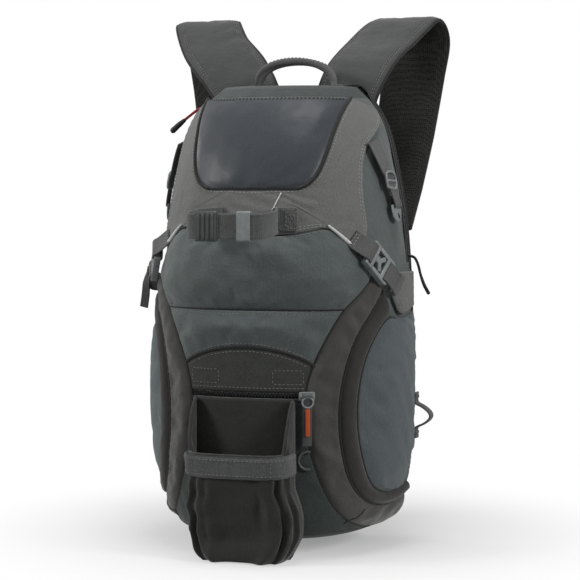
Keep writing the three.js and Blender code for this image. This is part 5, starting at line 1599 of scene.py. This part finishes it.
def grab_handle():
    top = BODY_HEIGHT / 2 + SEAT
    half = HANDLE_SPAN / 2
    foot = (top + FOOT_THICK / 2, 0, 1, FOOT_THICK)
    stations = [(-half - FOOT_LENGTH / 2, *foot), (-half - 1, *foot)]
    for step in range(1, HANDLE_STEPS):
        angle = math.pi * (1 - step / HANDLE_STEPS)
        thick = FOOT_THICK + (HANDLE_THICK - FOOT_THICK) * min(1, math.sin(angle) * 1.6)
        height = top + FOOT_THICK + math.sin(angle) ** 0.75 * (HANDLE_RISE - HANDLE_THICK / 2)
        stations.append((math.cos(angle) * half, height, math.cos(angle), math.sin(angle), thick))
    stations += [(half + 1, *foot), (half + FOOT_LENGTH / 2, *foot)]
    section = round_section(HANDLE_SECTION)
    rings = []
    for x, z, nx, nz, thick in stations:
        ring = []
        for wide, out in section:
            reach = out * thick / 2 * 0.94
            ring.append((x + nx * reach, -HANDLE_WIDTH / 2 + wide * HANDLE_WIDTH / 2, z + nz * reach))
        rings.append(ring)
    points, faces = loft(rings)
    wide = np.tile([x * HANDLE_WIDTH / 2 for x, _ in section], (len(rings), 1))
    uv = wrapped_uv(points, wide, lengths_of(np.array(rings).mean(1)))
    obj = outward(make_mesh("handle", points, faces, uv))
    settle(obj, WEBBING, nodes=["grab_handle"])
    lines = []
    for sign in (1, -1):
        at = np.array([sign * (half + FOOT_LENGTH / 4), -HANDLE_WIDTH / 2, top + FOOT_THICK])
        lines += box_stitch(at, [1, 0, 0], [0, 0, 1], 8, HANDLE_WIDTH - 5, 0.2)
    arch = np.array(stations[2:-2])
    flat = np.zeros(len(arch))
    normals = np.stack([arch[:, 2], flat, arch[:, 3]], -1)
    outer = np.stack([arch[:, 0], flat, arch[:, 1]], -1) + normals * arch[:, 4:] * 0.49
    for wide in (-0.72, 0.72):
        line = outer.copy()
        line[:, 1] = -HANDLE_WIDTH / 2 + wide * HANDLE_WIDTH / 2
        lines.append((line, normals))
    stitches("handle_stitches", lines, THREAD)


grab_handle()


# Shoulder straps: smooth cloth outside, open mesh inside, bound and stitched edges

STRAP_WIDTH = 70
STRAP_THICK = 12
STRAP_REACH = 150
STRAP_RISE = 318
LOCK_LENGTH = 24
LOCK_THICK = 6
LOWER_WEB = 25
RIGHT_STRAP = [
    (0.36, 0, 0.56, 0.86, 0.7), (0.38, 0.012, 0.69, 0.96, 0.95), (0.44, 0.16, 0.8, 1.04, 1),
    (0.53, 0.49, 0.9, 1.08, 1), (0.68, 0.84, 0.985, 1.08, 1), (0.72, 0.98, 0.93, 1.06, 1),
    (0.7, 0.92, 0.79, 1.02, 1), (0.68, 0.74, 0.58, 0.94, 1), (0.68, 0.5, 0.39, 0.8, 0.95),
    (0.7, 0.27, 0.25, 0.62, 0.8),
]
LEFT_STRAP = [
    (-0.36, 0, 0.56, 0.86, 0.7), (-0.44, 0.012, 0.69, 0.96, 0.95), (-0.62, 0.14, 0.79, 1.02, 1),
    (-0.88, 0.34, 0.89, 1.04, 1), (-1.08, 0.64, 0.985, 1.04, 1), (-1.1, 0.84, 0.94, 1.04, 1),
    (-1.04, 0.86, 0.79, 1, 1), (-0.94, 0.72, 0.58, 0.94, 1), (-0.83, 0.5, 0.39, 0.8, 0.95),
    (-0.74, 0.27, 0.25, 0.62, 0.8),
]
WEB_ANCHOR_X = 0.8
WEB_ANCHOR_Z = -0.34
STRAP_SECTION = [
    (1, 0), (0.99, 0.22), (0.96, 0.42), (0.9, 0.62), (0.86, 0.6), (0.82, 0.72), (0.7, 0.9), (0.45, 0.98),
    (0.2, 1), (0, 1),
]
STRAP_STITCHES = (-0.86, 0.86, -0.8, 0.8)
strap_off = SEAT + STRAP_THICK / 2


def strap_points(table):
    points = []
    for across, outward_share, height, _, thick in table:
        lift = strap_off if outward_share else 2 * SEAT + STRAP_THICK * thick / 2
        points.append((across * BODY_WIDTH / 2, lift + outward_share * STRAP_REACH, height * STRAP_RISE))
    return np.array(points)


def shoulder_strap(side, table, sign):
    rows = strap_points(table)
    line = smooth_curve(rows, 12)
    share = np.linspace(0, len(table) - 1, len(line))
    half_sizes = np.array(table)[:, 3:] * (STRAP_WIDTH / 2, STRAP_THICK / 2)
    wide, thick = read_at(share, np.arange(len(table)), half_sizes).T
    forward = unit(np.gradient(line, axis=0))
    sideways = unit(np.array([1.0, 0, 0]) - forward * forward[:, :1])
    up = np.cross(forward, sideways)
    run = lengths_of(line)
    around = round_section(STRAP_SECTION)
    rings = []
    for x, h in around:
        crumple = 0.35 * ripple(x * wide, run, 24, 51 + sign) * (abs(h) > 0.7)
        rise = h * thick + np.sign(h) * crumple
        rings.append(line + sideways * (wide * x)[:, None] + up * rise[:, None])
    rings = np.stack(rings, 1)
    start, end = rings[0].mean(0), rings[-1].mean(0)
    closed = [start + (rings[0] - start) * 0.9, *rings, end + (rings[-1] - end) * 0.9]
    points, faces = loft(closed)
    count = len(around)
    widths = np.array([wide[0], *wide, wide[-1]])
    uv = wrapped_uv(points, np.outer(widths, [x for x, _ in around]), [run[0], *run, run[-1]])
    obj = outward(make_mesh(f"strap_{side}", points, faces, uv))
    settle(obj, STRAP_CLOTH, nodes=[f"shoulder_strap_{side}"])
    obj.data.materials.append(AIR_MESH)
    inside = 2 * (len(STRAP_SECTION) - 1)
    index = [1 if face[0] % count < inside and len(face) == 4 else 0 for face in faces]
    obj.data.polygons.foreach_set("material_index", index)
    for edge_name, edge in (("inner", -1), ("outer", 1)):
        binding = line + sideways * (wide * edge * 0.985)[:, None]
        piece = tube_piece(f"strap_binding_{side}_{edge_name}", binding, 2.1, 8)
        settle(piece, SEAM_CORD)
    lines = []
    for x in STRAP_STITCHES:
        level_at = np.interp(abs(x), *zip(*reversed(STRAP_SECTION)))
        row = line + sideways * (wide * x)[:, None] - up * (level_at * thick + 0.2)[:, None]
        lines.append((row, -up))
    stitches(f"strap_stitches_{side}", lines, THREAD)

    last, before = rows[-1], rows[-2]
    ahead = unit(last - before)
    across = unit(np.array([1.0, 0, 0]) - ahead * ahead[0])
    normal = unit(np.cross(ahead, across))
    lock_at = last + ahead * (LOCK_LENGTH / 2 + SEAT)
    bevelled(f"lock_{side}", f"ladder_lock_{side}", DARK_PLASTIC, width=0.9)
    anchor_x, anchor_z = sign * WEB_ANCHOR_X * BODY_WIDTH / 2, WEB_ANCHOR_Z * BODY_HEIGHT
    anchor = np.array([anchor_x, SEAT + WEB_THICK / 2, anchor_z])
    outside = LOCK_THICK / 2 + SEAT + WEB_THICK / 2
    slot_x = LOCK_LENGTH / 2 - BUCKLE_FRAME - BUCKLE_SLOT / 2
    through = [
        (slot_x - 1.2, -1.5), (slot_x, 1.0), (slot_x + 1.5, outside), (LOCK_LENGTH / 2 + 4, outside),
    ]
    stations = [lock_at + ahead * x - normal * z for x, z in through]
    sides = [across] * len(through)
    middle_z = last[2] + (anchor[2] - last[2]) * 0.45
    middle = np.array([(last[0] + anchor[0]) / 2, STRAP_THICK * 0.8, middle_z])
    stations += [middle, anchor + [0, 0, LOWER_WEB], anchor]
    sides += [np.array([1.0, 0, 0])] * 3
    band(
        f"lower_web_{side}", stations, sides, LOWER_WEB, WEB_THICK, nodes=[f"lower_webbing_{side}"],
        steps=10,
    )
    size = (16, LOWER_WEB - 7, WEB_THICK / 2 + 0.2)
    box = box_stitch(anchor + [0, 0, LOWER_WEB / 2], [0, 0, 1], [0, 1, 0], *size)
    stitches(f"lower_web_stitches_{side}", box, THREAD)


shoulder_strap("right", RIGHT_STRAP, 1)
shoulder_strap("left", LEFT_STRAP, -1)


# The wearer's panel: padding with sewn channels under open mesh

CHANNELS_X = (-0.34, 0.34)
CHANNELS_Z = (-0.62, -0.2, 0.22, 0.62)
CHANNEL_HALF = 4.5
CHANNEL_DEEP = 4.2
PAD_ROLL = 12


def back_panel():
    columns, rows = 84, 130
    heights = np.linspace(0, 1, rows + 1)
    width, _ = section_at(heights)
    half = width * BODY_WIDTH / 2
    across = np.linspace(-1, 1, columns + 1)
    front, back = [], []
    for height, reach in zip(heights, half):
        z = (height - 0.5) * BODY_HEIGHT
        from_side = (1 - np.abs(across)) * reach
        from_end = min(height, 1 - height) * BODY_HEIGHT
        near = np.minimum(from_side, from_end)
        roll = rolled_edge(near, PAD_ROLL)
        y = -BACK_PAD + 1 + (BACK_PAD - 1.4) * roll
        z_share = 2 * height - 1
        groove = np.zeros_like(across)
        distances = [(across - line) * reach for line in CHANNELS_X]
        distances += [(z_share - line) * BODY_HEIGHT / 2 for line in CHANNELS_Z]
        for distance in distances:
            groove = np.maximum(groove, np.exp(-(distance / CHANNEL_HALF) ** 2))
        groove = groove * smoothstep(6, 22, near)
        x, level_z = across * reach, np.full_like(across, z)
        y = y - CHANNEL_DEEP * groove + 0.25 * ripple(x, level_z, 26, 61)
        back.append(np.stack([x, np.minimum(y, -0.1), level_z], -1))
        front.append(np.stack([x, np.full_like(x, -BACK_PAD + 0.5), level_z], -1))
    outer, inner = np.array(back), np.array(front)
    points, faces, _ = closed_sheet(outer, inner)
    uv = points[:, [0, 2]]
    obj = outward(make_mesh("back_pad", points, faces, uv))
    settle(obj, AIR_MESH, nodes=["back_panel"])
    edge = [(reach, -BACK_PAD, (height - 0.5) * BODY_HEIGHT) for height, reach in zip(heights, half)]
    loop_line = np.array([*edge, *[(-x, y, z) for x, y, z in reversed(edge)]])
    piping = tube_piece("back_piping", even(loop_line, 4.0), 1.9, 8)
    settle(piping, SEAM_CORD)


back_panel()


# Zips: tapes, coils, sliders and their pulls

COIL_WIDTH = 3.6
COIL_PITCH = 1.7
COIL_WIRE = 0.62
COIL_RISE = 0.3


def coil(name, line, normals):
    """Interlocked coil teeth along a line."""
    run = lengths_of(line)
    points, faces = [], []
    turns = np.linspace(0, 2 * np.pi, ROD_SIDES, endpoint=False)
    for index, at_run in enumerate(np.arange(COIL_PITCH, run[-1] - COIL_PITCH, COIL_PITCH)):
        at = read_at(at_run, run, line)
        ahead = unit(read_at(at_run + 0.5, run, line) - at)
        up = unit(read_at(at_run, run, normals))
        side = np.cross(ahead, up)
        shift = 0.25 * COIL_WIDTH * (1 if index % 2 else -1)
        ring = [(ahead * math.cos(turn) + up * math.sin(turn)) * COIL_WIRE for turn in turns]
        rings = []
        for end, size in ((-0.5, 0.6), (-0.3, 1), (0.3, 1), (0.5, 0.6)):
            middle = at + side * (end * COIL_WIDTH * 0.75 + shift) + up * COIL_RISE
            rings.append([middle + point * size for point in ring])
        add_rod(points, faces, rings)
    obj = outward(make_mesh(name, points, faces))
    return settle(obj, COIL)


zip_share = np.linspace(-0.98, 0.98, 90)
zip_v = (ZIP_TOP + ZIP_LOW) / 2
zip_u = zip_share * float(wing_seam.u_at(zip_v))
zip_line, zip_normal = lay(zip_u, np.full(90, zip_v), "zip_tape", 0.2)
coil("front_zip_coil", zip_line, zip_normal)

MAIN_ZIP_U = 0.955
MAIN_ZIP_LOW = 0.6
MAIN_ZIP_TOP = 0.985


def main_zip():
    """The main zip runs up one side near the back, over the top and down the other."""
    rise = np.linspace(MAIN_ZIP_LOW, MAIN_ZIP_TOP, 60)
    off = np.full(60, 0.5)
    right = skin(np.full(60, MAIN_ZIP_U), rise, off)
    left = skin(np.full(60, -MAIN_ZIP_U), rise[::-1], off)
    top_x = np.linspace(right[0][-1, 0] - 3, left[0][0, 0] + 3, 24)
    top = np.stack([top_x, np.full(24, right[0][-1, 1] - 2), np.full(24, BODY_HEIGHT / 2 + 0.7)], -1)
    up = np.tile([0, 0, 1.0], (24, 1))
    line = np.concatenate([right[0], top, left[0]])
    normals = np.concatenate([right[1], up, left[1]])
    keep = smooth_curve(line[::4], 6)
    share, share_line = np.linspace(0, 1, len(keep)), np.linspace(0, 1, len(line))
    turned = read_at(share, share_line, normals)
    sides = np.cross(unit(np.gradient(keep, axis=0)), turned)
    band("main_zip_tape", keep, sides, 13, 0.9, ZIP_TAPE, smooth=False)
    coil("main_zip_coil", keep + turned * 0.45, turned)


main_zip()


CORD_THICK = 3


def pull_on(name, place, off, table, material, node):
    """A cord pull through points given as out, along and up from its root."""
    root, normal, along, _ = one(place, off)
    rows = np.array(table, float)
    points = root + normal * rows[:, :1] + along * rows[:, 1:2]
    points[:, 2] = root[2] + rows[:, 2]
    line = smooth_curve(points, 6)
    size = np.interp(np.linspace(0, 1, len(line)), np.linspace(0, 1, len(rows)), rows[:, 3])
    piece = tube_piece(name, line, size * CORD_THICK / 2, 12)
    return settle(piece, material, nodes=[node])


SIDE_PULL = [
    (0, 0, 0, 1), (7, 0, -2, 1), (11, 0, -9, 1), (14, 0, -20, 1), (18, 0, -31, 1.25), (23, 0, -40, 1.3),
]
TOP_CORD = [(0, 0, 0, 1), (6, -4, -1, 1), (16, -8, -6, 1), (26, -10, -12, 1)]
TOP_GRIP = [(26.5, -10.2, -12.4, 1.4), (34, -12, -17, 2), (44, -14, -24, 2.2)]
TOP_PULL_PLACE = (-0.82, 0.95)
LOW_LOOP = 9
cord_off = CORD_THICK / 4 + SEAT
top_off = SKIN_GAP + CLOTH + cord_off
pull_on("side_cord", (0.95, 0.615), cord_off, SIDE_PULL, DARK_CORD, "side_pull")
pull_on("red_pull", TOP_PULL_PLACE, top_off, TOP_CORD, RED_CORD, "top_cord")
pull_on("red_pull_grip", TOP_PULL_PLACE, top_off, TOP_GRIP, DARK_RUBBER, "top_grip")
turns = np.linspace(0.42, 1.58, 13) * np.pi
loop_rows = [(0, LOW_LOOP * math.cos(a), LOW_LOOP * (math.sin(a) - 1), 1) for a in turns]
low_off = SKIN_GAP + CLOTH + CORD_THICK / 2 + 2 * SEAT
pull_on("low_loop", (0.238, 0.2), low_off, loop_rows, DARK_PLASTIC, "low_pull")
bevelled("zip_slider", "front_slider", GREY_PLASTIC, width=0.6)

# The front zip's hanging pull: a dark moulded tab with an orange insert

PULL_WIDTH = 9.5
PULL_THICK = 3.4
RING_HALF = (5.6, 5.2)
INSERT_TOP = 12.0
INSERT_LOW = 40.0
INSERT_HALF = PULL_WIDTH * 0.26
INSERT_CORNER = 1.6
INSERT_PROUD = 0.55


def front_pull():
    bevelled("pull_tab", "front_zip_pull", DARK_PLASTIC, 0.8, "front_zip_pull")
    hinge = next(joint for joint in frame["joints"] if joint["name"] == "front_pull_hinge")
    crest = np.array(hinge["pos_m"]) / MM
    across = unit(np.array(hinge["axis"]))
    out = np.cross([0, 0, 1.0], across)
    if out[1] > 0:
        out = -out
    down = np.array([0, 0, -1.0])
    half_width, half_length = INSERT_HALF - INSERT_CORNER, (INSERT_LOW - INSERT_TOP) / 2 - INSERT_CORNER
    outline = []
    for x_sign, y_sign, first in ((1, 1, 0.0), (-1, 1, 0.5), (-1, -1, 1.0), (1, -1, 1.5)):
        for step in range(6):
            turn = (first + step / 10) * np.pi
            x = x_sign * half_width + INSERT_CORNER * math.cos(turn)
            y = y_sign * half_length + INSERT_CORNER * math.sin(turn)
            outline.append((x, y))
    middle = crest + down * (INSERT_TOP + INSERT_LOW) / 2
    rings = []
    for size, high in ((1.0, 0.2), (1.0, 0.75), (0.9, 0.95), (0.6, 1.0)):
        raised = middle + out * (PULL_THICK / 2 + INSERT_PROUD) * high
        longer = 0.9 + 0.1 * size
        rings.append([raised + across * x * size + down * y * longer for x, y in outline])
    points, faces = loft(rings)
    obj = outward(make_mesh("pull_insert", points, faces))
    settle(obj, ORANGE_RUBBER, "front_zip_pull")
    turn = np.linspace(0, 2 * np.pi, 28, endpoint=False)[:, None]
    ring_out, ring_down = RING_HALF
    ring_at = crest + down * 5.5 + out * 2.6
    ring = ring_at + across * np.cos(turn) * ring_out + down * np.sin(turn) * ring_down
    piece = tube_piece("pull_ring", ring, 1.0, 8, closed=True)
    settle(piece, GREY_PLASTIC, "front_zip_pull")


front_pull()


# The stage and lights

FLOOR_Z = -0.2525
SKY_LIGHT = 0.2
SKY_SEEN = 1.0
FLOOR_FADE = (150, 480)
FLOOR_RADIUS = 3.0
LIGHT_TARGET = (0, -0.1, 0)
LIGHTS = [
    ("key", (-1.9, -1.35, 1.1), 0.7, 24), ("rim_left", (-1.9, 0.5, 0.6), 0.8, 7),
    ("fill", (2.2, -0.75, 0.9), 0.7, 22), ("top", (0.2, -0.3, 2.1), 0.8, 12),
]


def add_light(name, place, size, power):
    data = bpy.data.lights.new(name, "AREA")
    data.shape = "DISK"
    data.size = size
    data.energy = power
    light = bpy.data.objects.new(name, data)
    bpy.context.scene.collection.objects.link(light)
    light.location = place
    light.rotation_mode = "QUATERNION"
    light.rotation_quaternion = (Vector(LIGHT_TARGET) - Vector(place)).to_track_quat("-Z", "Y")


def add_stage():
    sides = 96
    turn = np.linspace(0, 2 * np.pi, sides, endpoint=False)
    ring = np.stack([np.cos(turn), np.sin(turn), np.zeros(sides)], -1) * FLOOR_RADIUS / MM
    points = np.concatenate([ring, [[0, 0, 0]]])
    points[:, 2] = FLOOR_Z / MM
    faces = [(side, (side + 1) % sides, sides) for side in range(sides)]
    floor = make_mesh("floor", points, faces)
    nodes = Nodes("floor_paper")
    grain = nodes.noise(place_mm(nodes), 0.02, 2.0)
    base = nodes.mix_colour(grain, (0.94, 0.94, 0.94, 1.0), (0.97, 0.97, 0.97, 1.0))
    nodes.link(base, nodes.shader.inputs["Base Color"])
    nodes.shader.inputs["Roughness"].default_value = 0.9
    place = {0: place_mm(nodes)}
    reach = nodes.add("ShaderNodeVectorMath", place, operation="LENGTH").outputs["Value"]
    fading = nodes.ramp(reach, FLOOR_FADE[0], FLOOR_FADE[1])
    seen = nodes.add("ShaderNodeLightPath").outputs["Is Camera Ray"]
    strength = nodes.add("ShaderNodeMapRange", {"Value": seen, 3: SKY_LIGHT, 4: SKY_SEEN}).outputs[0]
    white = nodes.add("ShaderNodeEmission", {"Strength": strength}).outputs[0]
    blend = nodes.add("ShaderNodeMixShader", {0: fading, 1: nodes.shader.outputs[0], 2: white})
    output = nodes.tree.nodes["Material Output"]
    nodes.link(blend.outputs[0], output.inputs["Surface"])
    floor.data.materials.append(nodes.material)
    world = bpy.data.worlds.new("studio")
    world.use_nodes = True
    bpy.context.scene.world = world
    background = world.node_tree.nodes["Background"]
    background.inputs["Color"].default_value = (1.0, 1.0, 1.0, 1.0)
    seen = world.node_tree.nodes.new("ShaderNodeLightPath").outputs["Is Camera Ray"]
    strength = world.node_tree.nodes.new("ShaderNodeMapRange")
    strength.inputs["To Min"].default_value = SKY_LIGHT
    strength.inputs["To Max"].default_value = SKY_SEEN
    world.node_tree.links.new(seen, strength.inputs["Value"])
    world.node_tree.links.new(strength.outputs[0], background.inputs["Strength"])
    for light in LIGHTS:
        add_light(*light)
    bpy.context.scene.view_settings.view_transform = "Standard"


add_stage()
